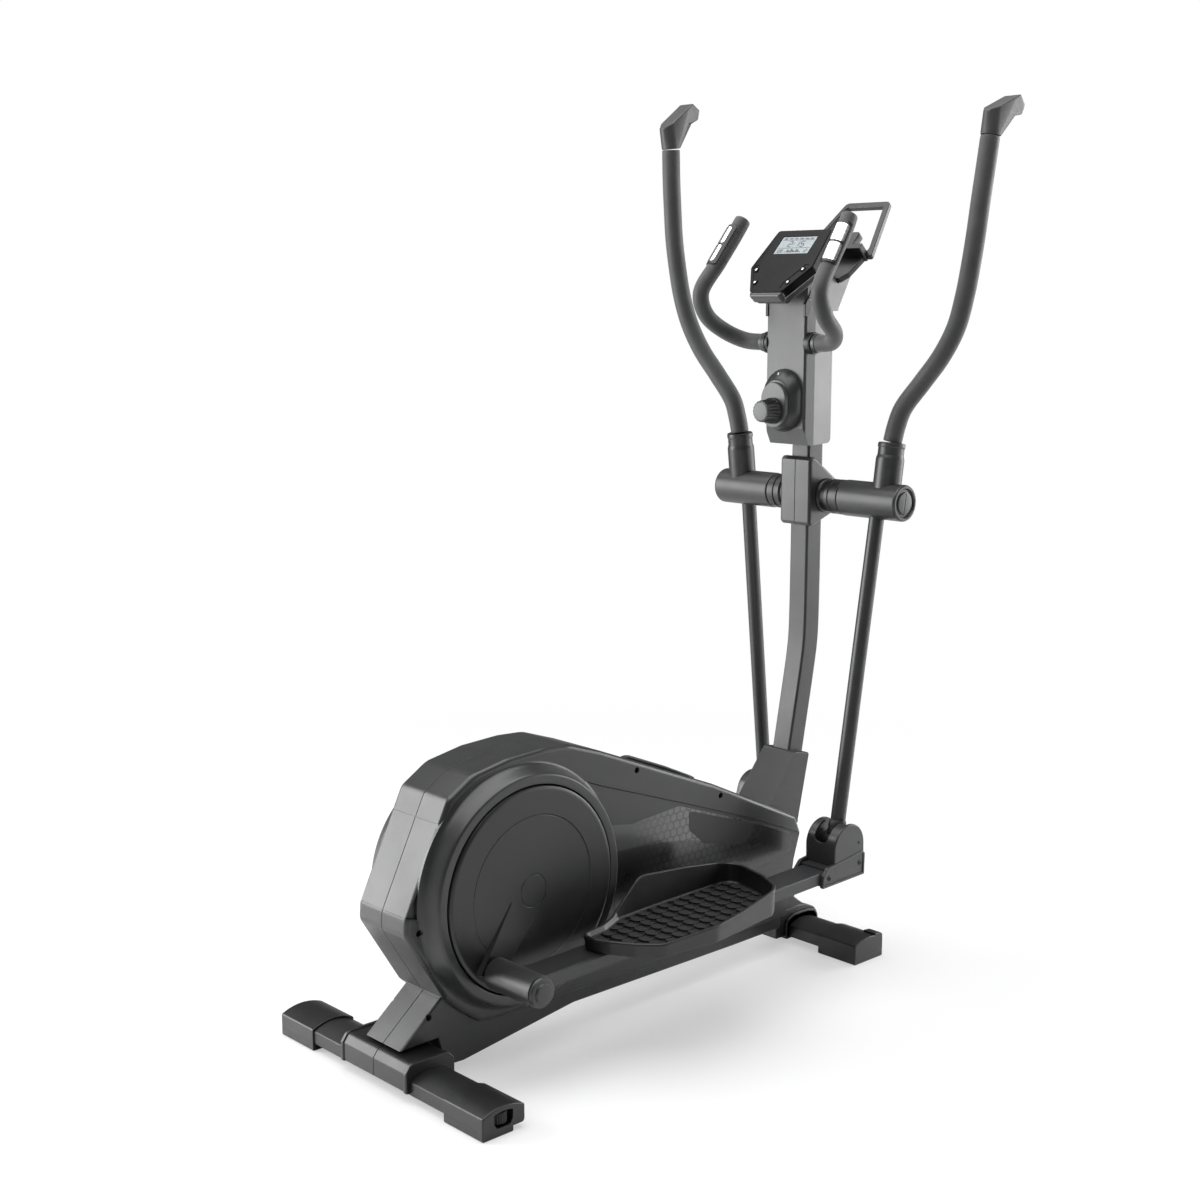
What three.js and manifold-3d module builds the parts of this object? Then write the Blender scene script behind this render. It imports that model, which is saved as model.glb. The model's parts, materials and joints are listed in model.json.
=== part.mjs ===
// Elliptical trainer: a flywheel machine with two crank-driven pedal arms, two swing
// handlebars on a mast, fixed grips and a console. Millimetres, +Z up, +X towards the
// console, +Y to the user's left. The part's origin is on the floor under the middle of
// its bounding box; the machine group inside is drawn about the crank axle.
import * as THREE from 'three';
import { ConvexGeometry } from 'three/addons/geometries/ConvexGeometry.js';
import { mergeVertices } from 'three/addons/utils/BufferGeometryUtils.js';
import Module from 'manifold-3d';

const wasm = await Module();
wasm.setup();

// ---------- driving dimensions ----------
const CRANK_X_IN_PART = -373.47;     // crank axle, from the middle of the bounding box
const GAP = 0.3;                     // between pieces that touch
const RIGHT = -1;
const LEFT = 1;

const CRANK_HEIGHT = 301.5;
const CRANK_RADIUS = 150;
const RIGHT_CRANK_ANGLE = radians(-129.25);   // at rest, from +X towards +Z
const PEDAL_ARM_SPAN = 812;          // crank pin to knuckle
const SWING_ARM_SPAN = 658.6;        // mast pivot to knuckle
const TEE_START = 90;                // inner end of the swing arm's tube on the pivot axle
const PIVOT = [821, 901];            // mast pivot, X and Z
const TUBE_BELOW_KNUCKLE = radians(3.28);     // pedal tube against the pin-to-knuckle line
const HANDLE_LEAN = radians(1);      // handle against the lower swing arm

const REAR_STABILISER = { x: -216, length: 560, capLength: 98, capSolid: 42 };
const FRONT_STABILISER = { x: 778, length: 414, capLength: 94, capSolid: 52 };
const STABILISER_TUBE = { halfWidth: 40, bottom: 12, corner: 36, apex: 46 };
const CAP_WALL = 3;

const KEEL_HALF_WIDTH = 25;
const KEEL = { rear: -205, front: 764, halfWidth: KEEL_HALF_WIDTH, bottom: 62, top: 92 };
const SADDLE_BRACKET = [STABILISER_TUBE.apex + 0.5, KEEL.bottom + 2];   // Z, from the tubes up into the keel

const HOUSING_HALF_WIDTH = 67;
const HOUSING_BEVEL = 8;
const HOUSING_WALL = 3;
const DISC_RADIUS = 179.5;
const DISC_FACE = 104;               // outer face of the crank disc, from the mid plane

const PULLEY_RADIUS = 120;
const FLYWHEEL = { x: 330, z: 250, radius: 110, pulleyRadius: 15 };

const MAST = { rear: 785, front: 829, halfWidth: 22, bendZ: 610, lean: 0.199, wall: 2.5 };
const CONSOLE_FOOT = [675, 1295];    // lower edge of the console face, X and Z
const CONSOLE_TILT = radians(46.25);
const FIXED_BAR = { x: 752, z: 1198, radius: 11 };

// ---------- materials ----------
const material = (colour, roughness, metalness = 0) =>
  new THREE.MeshStandardMaterial({ color: colour, roughness, metalness });
const powderCoat = material(0x2b2c2e, 0.5, 0.3);
const blackPlastic = material(0x1b1c1d, 0.5);
const greyPlastic = material(0x5a5c5f, 0.45);
const darkPlastic = material(0x333538, 0.4);
const foam = material(0x2a2b2c, 0.9);
const bareSteel = material(0x8a8c8f, 0.35, 0.9);
const castIron = material(0x4a4b4d, 0.6, 0.8);
const beltRubber = material(0x151515, 0.8);
const lcdGlass = material(0x6f8087, 0.15);

// ---------- geometry helpers ----------
function radians(degrees) {
  return degrees * Math.PI / 180;
}

// Signed volume of a closed mesh; negative when its faces point inwards.
function signedVolume(positions, indices) {
  const corner = (i) => new THREE.Vector3().fromArray(positions, 3 * i);
  let total = 0;
  for (let i = 0; i < indices.length; i += 3) {
    total += corner(indices[i]).dot(corner(indices[i + 1]).cross(corner(indices[i + 2]))) / 6;
  }
  return total;
}

// Turns a closed BufferGeometry into a solid for joining and cutting, faces outwards.
function solid(geometry) {
  const bare = geometry.index ? geometry.toNonIndexed() : geometry.clone();
  bare.deleteAttribute('normal');
  bare.deleteAttribute('uv');
  const merged = mergeVertices(bare, 1e-4);
  const vertProperties = new Float32Array(merged.attributes.position.array);
  const triVerts = new Uint32Array(merged.index.array);
  if (signedVolume(vertProperties, triVerts) < 0) {
    triVerts.reverse();
  }
  return new wasm.Manifold(new wasm.Mesh({ numProp: 3, vertProperties, triVerts }));
}

function fromSolid(body) {
  const mesh = body.getMesh();
  const geometry = new THREE.BufferGeometry();
  geometry.setAttribute('position', new THREE.BufferAttribute(new Float32Array(mesh.vertProperties), 3));
  geometry.setIndex(new THREE.BufferAttribute(new Uint32Array(mesh.triVerts), 1));
  geometry.computeVertexNormals();
  return geometry;
}

function join(...bodies) {
  return bodies.reduce((whole, body) => whole.add(body));
}

function cut(body, ...tools) {
  return tools.reduce((rest, tool) => rest.subtract(tool), body);
}

function place(geometry, x, y, z) {
  geometry.translate(x, y, z);
  return solid(geometry);
}

// A box between two x, two y and two z values; either y may be the larger.
function block([x0, x1], [y0, y1], [z0, z1]) {
  const box = new THREE.BoxGeometry(Math.abs(x1 - x0), Math.abs(y1 - y0), Math.abs(z1 - z0));
  return place(box, (x0 + x1) / 2, (y0 + y1) / 2, (z0 + z1) / 2);
}

// A cylinder along Y between two y values.
function rodY(radius, [y0, y1], x, z, sides = 16) {
  const geometry = new THREE.CylinderGeometry(radius, radius, Math.abs(y1 - y0), sides);
  return place(geometry, x, (y0 + y1) / 2, z);
}

// A cylinder along Z between two z values.
function rodZ(radius, [z0, z1], x, y, sides = 14) {
  const geometry = new THREE.CylinderGeometry(radius, radius, z1 - z0, sides);
  geometry.rotateX(Math.PI / 2);
  return place(geometry, x, y, (z0 + z1) / 2);
}

// A cylinder along X between two x values.
function rodX(radius, [x0, x1], y, z, sides = 14) {
  const geometry = new THREE.CylinderGeometry(radius, radius, Math.abs(x1 - x0), sides);
  geometry.rotateZ(Math.PI / 2);
  return place(geometry, (x0 + x1) / 2, y, z);
}

function outline(points) {
  return new THREE.Shape(points.map(([a, b]) => new THREE.Vector2(a, b)));
}

// A side profile in X and Z, drawn through from one y to the other.
function plate(profile, [y0, y1], holes = []) {
  const shape = Array.isArray(profile) ? outline(profile) : profile;
  shape.holes.push(...holes);
  const depth = Math.abs(y1 - y0);
  const geometry = new THREE.ExtrudeGeometry(shape, { depth, bevelEnabled: false, curveSegments: 12 });
  geometry.rotateX(Math.PI / 2);
  return place(geometry, 0, Math.max(y0, y1), 0);
}

// A plan outline in X and Y, drawn up from one z to the other.
function column(profile, [z0, z1]) {
  const shape = Array.isArray(profile) ? outline(profile) : profile;
  const depth = z1 - z0;
  const geometry = new THREE.ExtrudeGeometry(shape, { depth, bevelEnabled: false, curveSegments: 8 });
  return place(geometry, 0, 0, z0);
}

// A turned piece about Y; the profile lists [radius, distance along +Y or -Y from the mid plane].
function turnedY(profile, side, x, z, sides = 20) {
  const points = profile.map(([radius, reach]) => new THREE.Vector2(radius, reach));
  const geometry = new THREE.LatheGeometry(points, sides);
  if (side === RIGHT) {
    geometry.rotateX(Math.PI);
  }
  return place(geometry, x, 0, z);
}

// A turned piece about Z; the profile lists [radius, height].
function turnedZ(profile, x, y, sides = 16) {
  const geometry = new THREE.LatheGeometry(profile.map(([r, h]) => new THREE.Vector2(r, h)), sides);
  geometry.rotateX(Math.PI / 2);
  return place(geometry, x, y, 0);
}

// A turned piece about X; the profile lists [radius, x].
function turnedX(profile, y, z, sides = 20) {
  const geometry = new THREE.LatheGeometry(profile.map(([r, x]) => new THREE.Vector2(r, x)), sides);
  geometry.rotateZ(-Math.PI / 2);
  return place(geometry, 0, y, z);
}

function circlePoints(radius, sides) {
  return Array.from({ length: sides }, (_, i) => {
    const angle = 2 * Math.PI * i / sides;
    return [radius * Math.cos(angle), radius * Math.sin(angle)];
  });
}

// A round bar or tube along a smooth curve through the points.
function bentTube(points, radius, { bore = 0, steps = 12, sides = 8 } = {}) {
  const curve = new THREE.CatmullRomCurve3(points.map((p) => new THREE.Vector3(...p)), false, 'centripetal');
  const section = outline(circlePoints(radius, sides));
  if (bore > 0) {
    section.holes.push(new THREE.Path(circlePoints(bore, sides).map(([a, b]) => new THREE.Vector2(a, b))));
  }
  return solid(new THREE.ExtrudeGeometry(section, { steps, extrudePath: curve, bevelEnabled: false }));
}

// The smallest convex body round the points.
function hull(points) {
  return solid(new ConvexGeometry(points.map((p) => new THREE.Vector3(...p))));
}

function arcPoints([cx, cy], radius, from, to, count) {
  return Array.from({ length: count + 1 }, (_, i) => {
    const angle = from + (to - from) * i / count;
    return [cx + radius * Math.cos(angle), cy + radius * Math.sin(angle)];
  });
}

// ---------- assembly ----------
const trainer = new THREE.Group();
const machine = new THREE.Group();
machine.position.x = CRANK_X_IN_PART;
trainer.add(machine);

function add(group, name, body, look) {
  const mesh = new THREE.Mesh(fromSolid(body), look);
  mesh.name = name;
  group.add(mesh);
  return mesh;
}

const sideName = (side) => (side === LEFT ? 'left' : 'right');
const span = (side, from, to) => [side * from, side * to];

// ---------- the linkage at rest ----------
// The knuckle is where the circle about the crank pin meets the circle about the mast pivot.
function linkage(side) {
  const angle = side === RIGHT ? RIGHT_CRANK_ANGLE : RIGHT_CRANK_ANGLE + Math.PI;
  const pin = [CRANK_RADIUS * Math.cos(angle), CRANK_HEIGHT + CRANK_RADIUS * Math.sin(angle)];
  const across = [PIVOT[0] - pin[0], PIVOT[1] - pin[1]];
  const distance = Math.hypot(...across);
  const along = (PEDAL_ARM_SPAN ** 2 - SWING_ARM_SPAN ** 2 + distance ** 2) / (2 * distance);
  const aside = Math.sqrt(PEDAL_ARM_SPAN ** 2 - along ** 2);
  const [ux, uz] = [across[0] / distance, across[1] / distance];
  const knuckle = [pin[0] + along * ux + aside * uz, pin[1] + along * uz - aside * ux];
  return {
    angle,
    pin,
    knuckle,
    armPitch: Math.atan2(knuckle[1] - pin[1], knuckle[0] - pin[0]) - TUBE_BELOW_KNUCKLE,
    swing: Math.atan2(knuckle[0] - PIVOT[0], PIVOT[1] - knuckle[1]),
  };
}

// A group whose own X axis points up at the given pitch from +X, in the X-Z plane.
function pitchedGroup([x, z], pitch) {
  const group = new THREE.Group();
  group.position.set(x, 0, z);
  group.rotation.y = -pitch;
  machine.add(group);
  return group;
}

// ---------- base: stabilisers, caps, levellers and rollers ----------
// D-shaped section: flat underneath, arched on top. Points are [offset in X, height].
function stabiliserSection(x, grow) {
  const { halfWidth, bottom, corner, apex } = STABILISER_TUBE;
  const half = halfWidth + grow;
  const rise = apex - corner;
  const arch = Array.from({ length: 7 }, (_, i) => {
    const t = 1 - i / 3;
    return [x + half * t, corner + grow + rise * (1 - t * t)];
  });
  return [[x - half, bottom - grow], [x + half, bottom - grow], ...arch];
}

function stabiliser({ x, length, capSolid }) {
  const wall = 2;
  const reach = length / 2 - capSolid;
  const outer = plate(stabiliserSection(x, 0), [-reach, reach]);
  return cut(outer, plate(stabiliserSection(x, -wall), [-reach - 1, reach + 1]));
}

// Cap over a stabiliser's end: a sleeve round the tube, then solid to the end face.
function capShell({ x, length, capLength, capSolid }, side) {
  const end = length / 2;
  const outer = plate(stabiliserSection(x, CAP_WALL), span(side, end - capLength, end));
  const tubeRoom = plate(stabiliserSection(x, GAP), span(side, end - capLength - 1, end - capSolid + GAP));
  return cut(outer, tubeRoom);
}

// The block under a cap that stands on the floor; it overlaps the cap slightly so the two join.
function capFoot({ x, length, capLength }, side, toFront) {
  const end = length / 2;
  const half = STABILISER_TUBE.halfWidth + CAP_WALL;
  const overlap = 0.1;
  const top = STABILISER_TUBE.bottom - CAP_WALL + overlap;
  return block([x - half, x + toFront], span(side, end - capLength, end), [0, top]);
}

const LEVELLER = { x: -217, reach: 262, wheel: 17, low: 18, high: 38, foot: 10, stem: 4.4 };

function rearCap(side) {
  const { x, reach, wheel, low, high, foot, stem } = LEVELLER;
  const end = REAR_STABILISER.length / 2;
  const shell = capShell(REAR_STABILISER, side);
  const window = block([x - wheel - 2, x + wheel + 2], span(side, reach - wheel - 3, end + 1),
    [low - 2.5, high + 2.5]);
  const bore = rodZ(stem + 0.6, [-1, low], x, side * reach);
  const footRoom = rodZ(foot + 2, [-1, 8.8], x, side * reach);
  return cut(join(shell, capFoot(REAR_STABILISER, side, 20)), window, bore, footRoom);
}

function leveller(side) {
  const { x, reach, wheel, low, high, foot, stem } = LEVELLER;
  const profile = [[0, 1], [foot, 1], [foot, 5], [stem, 6], [stem, low], [wheel, low], [wheel, high],
    [0, high]];
  return turnedZ(profile, x, side * reach);
}

const ROLLER = { x: 804, z: 17.5, reach: 178, radius: 14.5, halfWidth: 8, bore: 3.5 };

function frontCap(side) {
  const { x, length } = FRONT_STABILISER;
  const end = length / 2;
  const shell = capShell(FRONT_STABILISER, side);
  const foot = capFoot(FRONT_STABILISER, side, STABILISER_TUBE.halfWidth + CAP_WALL);
  const lipProfile = [[x + 15, 36], [x + 43, 36], [x + 42, 46], [x + 36, 49.5], [x + 19, 51.5]];
  const lip = plate(lipProfile, span(side, end - 30, end));
  const inner = ROLLER.reach - ROLLER.halfWidth - 1;
  const outer = ROLLER.reach + ROLLER.halfWidth + 1;
  const slot = block([ROLLER.x - ROLLER.radius - 2, x + 60], span(side, inner, outer),
    [-5, ROLLER.z + ROLLER.radius + 1.5]);
  const axle = rodY(ROLLER.bore - 0.5, span(side, inner - 1, outer + 1), ROLLER.x, ROLLER.z, 12);
  return join(cut(join(shell, foot, lip), slot), axle);
}

function roller(side) {
  const inner = ROLLER.reach - ROLLER.halfWidth;
  const outer = ROLLER.reach + ROLLER.halfWidth;
  const tread = rodY(ROLLER.radius, span(side, inner, outer), ROLLER.x, ROLLER.z, 24);
  return cut(tread, rodY(ROLLER.bore, span(side, inner - 1, outer + 1), ROLLER.x, ROLLER.z, 12));
}

function rearSaddleCover() {
  const { x } = REAR_STABILISER;
  const lowX = x - 48;
  const highX = x + 52;
  const profile = [[lowX, 16], [highX, 10], [highX, 52], [highX - 14, 66], [lowX + 12, 66], [lowX, 50]];
  const cover = plate(profile, [-92, 92]);
  const tubeRoom = plate(stabiliserSection(x, GAP), [-93, 93]);
  const frameRoom = block([x - 26, x + 60], [-33, 33], [38, 70]);
  return cut(cover, tubeRoom, frameRoom);
}

// Three steps out from the keel: a hump over the keel's end, a wide ring and a flange round the tube.
const FRONT_SADDLE = { hump: 29.6, ring: 31, flange: 35, keelRoom: KEEL_HALF_WIDTH + 0.6, socketRoom: 27.4 };

function frontSaddleCover() {
  const { x } = FRONT_STABILISER;
  const { hump, ring, flange, keelRoom, socketRoom } = FRONT_SADDLE;
  const humpProfile = [[x - 74, 60], [x + 20, 60], [x + 12, 68], [x - 14, 87], [x - 24, 95], [x - 74, 95]];
  const ringProfile = [[x - 74, 14], [x + 52, 14], [x + 52, 44], [x + 42, 56], [x + 20, 66], [x - 8, 71],
    [x - 54, 68], [x - 68, 61], [x - 74, 52]];
  const flangeProfile = [[x - 47, 8], [x + 50, 8], [x + 50, 40], [x + 42, 52], [x + 18, 58], [x - 24, 58],
    [x - 44, 50], [x - 49, 42]];
  const cover = join(plate(humpProfile, [-hump, hump]), plate(ringProfile, [-ring, ring]),
    plate(flangeProfile, [-flange, flange]));
  const tube = plate(stabiliserSection(x, GAP), [-flange - 1, flange + 1]);
  const keel = block([x - 80, KEEL.front + 0.6], [-keelRoom, keelRoom], [40, KEEL.top + 0.6]);
  const bracket = block([x - 80, x + 22.6], [-keelRoom, keelRoom], [38, SADDLE_BRACKET[1] + 0.6]);
  const socket = block([x - 80, x - 38], [-socketRoom, socketRoom], [60, 120]);
  const under = block([x - 80, x - 40.3], [-keelRoom, keelRoom], [0, 60]);
  return cut(cover, tube, keel, bracket, socket, under);
}

// ---------- main frame ----------

// A strip along the mast's leaning foot, offset in X from its rear face.
function mastFootProfile(fromRear, toRear, lowZ, highZ) {
  const rearAt = (z) => MAST.rear - (MAST.bendZ - z) * MAST.lean;
  return [
    [rearAt(lowZ) + fromRear, lowZ],
    [rearAt(lowZ) + toRear, lowZ],
    [rearAt(highZ) + toRear, highZ],
    [rearAt(highZ) + fromRear, highZ],
  ];
}

function mainFrame() {
  const { rear, front, halfWidth, bottom, top } = KEEL;
  const keel = cut(
    block([rear, front], [-halfWidth, halfWidth], [bottom, top]),
    block([rear - 1, front + 1], [-halfWidth + 2, halfWidth - 2], [bottom + 2, top - 2]),
  );
  const rearSaddle = block([REAR_STABILISER.x - 22, -192], [-30, 30], SADDLE_BRACKET);
  const frontSaddle = block([FRONT_STABILISER.x - 38, FRONT_STABILISER.x + 22], [-halfWidth, halfWidth],
    SADDLE_BRACKET);
  const crankPost = block([-20, 20], [-20, 20], [top - 1, CRANK_HEIGHT - 20]);
  const bearingHousing = rodY(30, [-32, 32], 0, CRANK_HEIGHT, 20);
  const bearingBore = rodY(24, [-33, 33], 0, CRANK_HEIGHT, 20);
  const width = MAST.front - MAST.rear;
  const socketOuter = plate(mastFootProfile(-5, width + 5, top - 1, 236), [-27, 27]);
  const socketRoom = plate(mastFootProfile(-0.5, width + 0.5, 150, 291), [-22.5, 22.5]);
  const { x, z } = FLYWHEEL;
  const forkRight = block([x - 16, x + 16], [-26, -20], [top - 1, z + 16]);
  const forkLeft = block([x - 16, x + 16], [54, 60], [top - 1, z + 16]);
  const forkFoot = block([x - 16, x + 16], [20, 60], [top - 4, top]);
  const brakePost = block([BRAKE.pivotX - 8, BRAKE.pivotX + 8], [-5, 5], [top - 1, BRAKE.pivotZ + 9]);
  const brakePin = rodY(4, [-20, 20], BRAKE.pivotX, BRAKE.pivotZ, 16);
  const axleRoom = rodY(6.4, [-70, 70], x, z);
  const body = join(keel, rearSaddle, frontSaddle, crankPost, bearingHousing, socketOuter,
    forkRight, forkLeft, forkFoot, brakePost, brakePin);
  return cut(body, bearingBore, socketRoom, axleRoom);
}

// ---------- drive: crank, pulley, belt, flywheel and brake ----------
const BRAKE = { pivotX: 458, pivotZ: 272, inner: 121, outer: 131 };

function crankBearing(side) {
  const near = 20;
  const far = 32;
  const ring = rodY(23.7, span(side, near, far), 0, CRANK_HEIGHT, 20);
  return cut(ring, rodY(10.4, span(side, near - 1, far + 1), 0, CRANK_HEIGHT, 20));
}

function crankAxle() {
  return join(rodY(10, [-93, 93], 0, CRANK_HEIGHT), rodY(14, [33, 39], 0, CRANK_HEIGHT));
}

function drivePulley() {
  const profile = [[10.3, 39.4], [30, 39.4], [30, 42], [112, 42], [112, 39.4], [PULLEY_RADIUS, 39.4],
    [PULLEY_RADIUS, 50], [112, 50], [112, 46], [30, 46], [30, 50], [10.3, 50], [10.3, 39.4]];
  return turnedY(profile, LEFT, 0, CRANK_HEIGHT, 24);
}

function crankArm(side) {
  const { angle, pin } = linkage(side);
  const hub = rodY(25, span(side, 78, 96), 0, CRANK_HEIGHT);
  const end = rodY(20, span(side, 86, 96), pin[0], pin[1]);
  const web = new THREE.BoxGeometry(CRANK_RADIUS, 10, 34);
  web.translate(CRANK_RADIUS / 2, 0, 0);
  web.rotateY(-angle);
  const arm = place(web, 0, side * 91, CRANK_HEIGHT);
  const stub = rodY(9, span(side, 86, 226), pin[0], pin[1]);
  const axleRoom = rodY(10.3, span(side, 77, 93.3), 0, CRANK_HEIGHT);
  return cut(join(hub, end, arm, stub), axleRoom);
}

// The plastic disc in the housing's side, with the raised cover over the crank arm.
function crankDisc(side) {
  const { angle, pin } = linkage(side);
  const face = DISC_FACE;
  const rim = DISC_RADIUS;
  const profile = [[0, face - 5], [rim - 6, face - 5], [rim - 6, 86], [rim, 86], [rim, face], [0, face]];
  const dish = turnedY(profile, side, 0, CRANK_HEIGHT, 36);
  const wide = 62;
  const wedge = outline([[rim - 8, -wide / 2], [rim - 8, wide / 2], [60, wide / 3], [28, 0],
    [60, -wide / 3]]);
  const cover = new THREE.ExtrudeGeometry(wedge, { depth: 10, bevelEnabled: false });
  cover.rotateX(Math.PI / 2);
  cover.translate(0, side === LEFT ? face + 9 : -face + 1, 0);
  cover.rotateY(-angle);
  const relief = place(cover, 0, 0, CRANK_HEIGHT);
  const pinRoom = rodY(12, span(side, 80, 120), pin[0], pin[1]);
  return cut(join(dish, relief), pinRoom);
}

function flywheel() {
  const { x, z, radius, pulleyRadius } = FLYWHEEL;
  const profile = [[6.8, -15], [34, -15], [34, -9], [82, -9], [82, -15], [radius, -15], [radius, 15],
    [82, 15], [82, 9], [34, 9], [34, 15], [14, 15], [14, 39], [pulleyRadius, 39],
    [pulleyRadius, 50], [6.8, 50], [6.8, -15]];
  return turnedY(profile, LEFT, x, z, 24);
}

// The belt's loop, a run of the given thickness round both pulleys.
function belt() {
  const big = [0, CRANK_HEIGHT];
  const small = [FLYWHEEL.x, FLYWHEEL.z];
  const distance = Math.hypot(small[0] - big[0], small[1] - big[1]);
  const heading = Math.atan2(small[1] - big[1], small[0] - big[0]);
  const loop = (bigRadius, smallRadius) => {
    const wrap = Math.acos((bigRadius - smallRadius) / distance);
    return [
      ...arcPoints(big, bigRadius, heading + wrap, heading + 2 * Math.PI - wrap, 26),
      ...arcPoints(small, smallRadius, heading - wrap, heading + wrap, 8),
    ];
  };
  const clear = 0.4;
  const thickness = 2.5;
  const inner = loop(PULLEY_RADIUS + clear, FLYWHEEL.pulleyRadius + clear);
  const outer = loop(PULLEY_RADIUS + clear + thickness, FLYWHEEL.pulleyRadius + clear + thickness);
  const hole = new THREE.Path(inner.map(([a, b]) => new THREE.Vector2(a, b)));
  return plate(outer, [40, 49], [hole]);
}

// Magnet carrier: an arc over the flywheel's rim, hung on a pin at its front end.
function brakeBracket() {
  const { pivotX, pivotZ, inner, outer } = BRAKE;
  const centre = [FLYWHEEL.x, FLYWHEEL.z];
  const from = radians(18);
  const to = radians(92);
  const arc = plate([...arcPoints(centre, inner, from, to, 14), ...arcPoints(centre, outer, to, from, 14)],
    [-18, 18]);
  const lug = plate([[446, 262], [474, 256], [474, 290], [438, 302]], [-18, 18]);
  const slot = block([pivotX - 14, pivotX + 20], [-6, 6], [pivotZ - 30, pivotZ + 30]);
  const pinRoom = rodY(4.4, [-30, 30], pivotX, pivotZ, 16);
  return cut(join(arc, lug), slot, pinRoom);
}

// ---------- housing ----------
// Side outline from the rear foot up over the crown, down the nose and back along the bottom.
const HOUSING_OUTLINE = [
  [-242, 69], [-158, 138], [-240, 268], [-238, 296], [-148, 480], [-96, 512], [-20, 526], [60, 530],
  [115, 527], [190, 502], [480, 386], [717, 276], [733, 240], [716, 188], [700, 96], [696, 44],
  [560, 44], [140, 46], [-110, 14], [-150, 16], [-165, 69],
];

// Moves every edge of a closed outline inwards (outwards when negative) by the same distance.
function insetOutline(points, distance) {
  const ring = points.length;
  const turn = points.reduce((area, [x, y], i) => {
    const [nextX, nextY] = points[(i + 1) % ring];
    return area + x * nextY - nextX * y;
  }, 0);
  const inset = turn < 0 ? distance : -distance;
  return points.map((point, i) => {
    const before = points[(i + ring - 1) % ring];
    const after = points[(i + 1) % ring];
    const a = new THREE.Vector2(point[0] - before[0], point[1] - before[1]).normalize();
    const b = new THREE.Vector2(after[0] - point[0], after[1] - point[1]).normalize();
    // On a clockwise outline each edge's inside is on its right.
    const sum = new THREE.Vector2(a.y + b.y, -a.x - b.x);
    const scale = inset / Math.max(0.35, 1 + a.dot(b));
    return [point[0] + sum.x * scale, point[1] + sum.y * scale];
  });
}

function housing(side) {
  const seam = GAP / 2;
  const wall = HOUSING_WALL;
  const half = HOUSING_HALF_WIDTH;
  const bevelled = new THREE.ExtrudeGeometry(outline(HOUSING_OUTLINE), {
    depth: 2 * (half - HOUSING_BEVEL),
    bevelThickness: HOUSING_BEVEL,
    bevelSize: HOUSING_BEVEL,
    bevelOffset: -HOUSING_BEVEL,
    bevelSegments: 2,
  });
  bevelled.rotateX(Math.PI / 2);
  const whole = place(bevelled, 0, half - HOUSING_BEVEL, 0);
  const shell = whole.intersect(block([-400, 900], span(side, seam, half + 1), [-10, 700]));
  const deep = plate(insetOutline(HOUSING_OUTLINE, HOUSING_BEVEL), span(side, seam - 1, half - wall));
  const wide = plate(insetOutline(HOUSING_OUTLINE, wall), span(side, seam - 1, half - HOUSING_BEVEL - 1));
  const cavity = join(deep, wide);
  const collar = turnedY([[0, half - 10], [210, half - 10], [210, half], [197, 100], [0, 100]],
    side, 0, CRANK_HEIGHT, 36);
  const discRoom = turnedY([[0, half - 20], [193, half - 20], [DISC_RADIUS + 1, 84], [DISC_RADIUS + 1, 101],
    [0, 101]], side, 0, CRANK_HEIGHT, 36);
  const keelRoom = block([KEEL.rear - 60, KEEL.front + 30], [-KEEL.halfWidth - 6, KEEL.halfWidth + 6],
    [38, KEEL.top + 1]);
  const width = MAST.front - MAST.rear;
  const mastRoom = plate(mastFootProfile(-20, width + 6, 80, 420), [-28, 28]);
  return cut(join(cut(shell, cavity), cut(collar, cavity)), discRoom, keelRoom, mastRoom, saddleRoom());
}

// Room for the rear and front saddle covers around the ends of the housing.
function saddleRoom() {
  const front = block([FRONT_STABILISER.x - 75, 800], [-80, 80], [0, 104]);
  const rear = block([-300, -163], [-100, 100], [0, 67]);
  return join(front, rear);
}

// ---------- mast, boot, pivot block ----------
function mastProfile(inset) {
  const { rear, front, bendZ, lean } = MAST;
  const lowZ = 156;
  const topZ = 1180;
  const drop = (z) => (bendZ - z) * lean;
  const soften = 34;
  return [
    [rear + inset - drop(lowZ), lowZ - (inset ? 1 : 0)],
    [front - inset - drop(lowZ), lowZ - (inset ? 1 : 0)],
    [front - inset - drop(bendZ - soften), bendZ - soften],
    [front - inset - 1.6, bendZ],
    [front - inset, bendZ + soften],
    [front - inset, topZ + (inset ? 1 : 0)],
    [rear + inset, topZ + (inset ? 1 : 0)],
    [rear + inset, bendZ + soften],
    [rear + inset - 1.6, bendZ],
    [rear + inset - drop(bendZ - soften), bendZ - soften],
  ];
}

function mast() {
  const { halfWidth, wall } = MAST;
  const tube = plate(mastProfile(0), [-halfWidth, halfWidth]);
  const hollow = plate(mastProfile(wall), [-halfWidth + wall, halfWidth - wall]);
  const cableSlot = plate(mastFootProfile(-4, 8, 306, 370), [-6, 6]);
  return cut(tube, hollow, cableSlot, rodY(12.4, [-40, 40], ...PIVOT));
}

function boot() {
  const shell = plate([[656, 300], [736, 398], [783, 389], [751, 255]], [-41, 41]);
  const width = MAST.front - MAST.rear;
  const mastRoom = plate(mastFootProfile(-1, width + 1, 200, 430), [-23, 23]);
  const inside = plate([[680, 290], [736, 364], [778, 355], [748, 250], [690, 250]], [-34, 34]);
  const housingRoom = plate(insetOutline(HOUSING_OUTLINE, -0.4), [-80, 80]);
  return cut(shell, mastRoom, inside, housingRoom);
}

// One half of the block that carries the pivot axle across the mast.
function pivotBlock(side) {
  const { rear, front, halfWidth } = MAST;
  const shape = [[771, 850], [777, 844], [786, 844], [852, 868], [854, 930], [786, 978], [777, 978],
    [771, 972]];
  const body = plate(shape, span(side, GAP / 2, 38));
  const mastRoom = block([rear - 0.4, front + 0.4], span(side, -1, halfWidth + 0.4), [830, 990]);
  return cut(body, mastRoom, rodY(12.4, [-60, 60], ...PIVOT));
}

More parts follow.
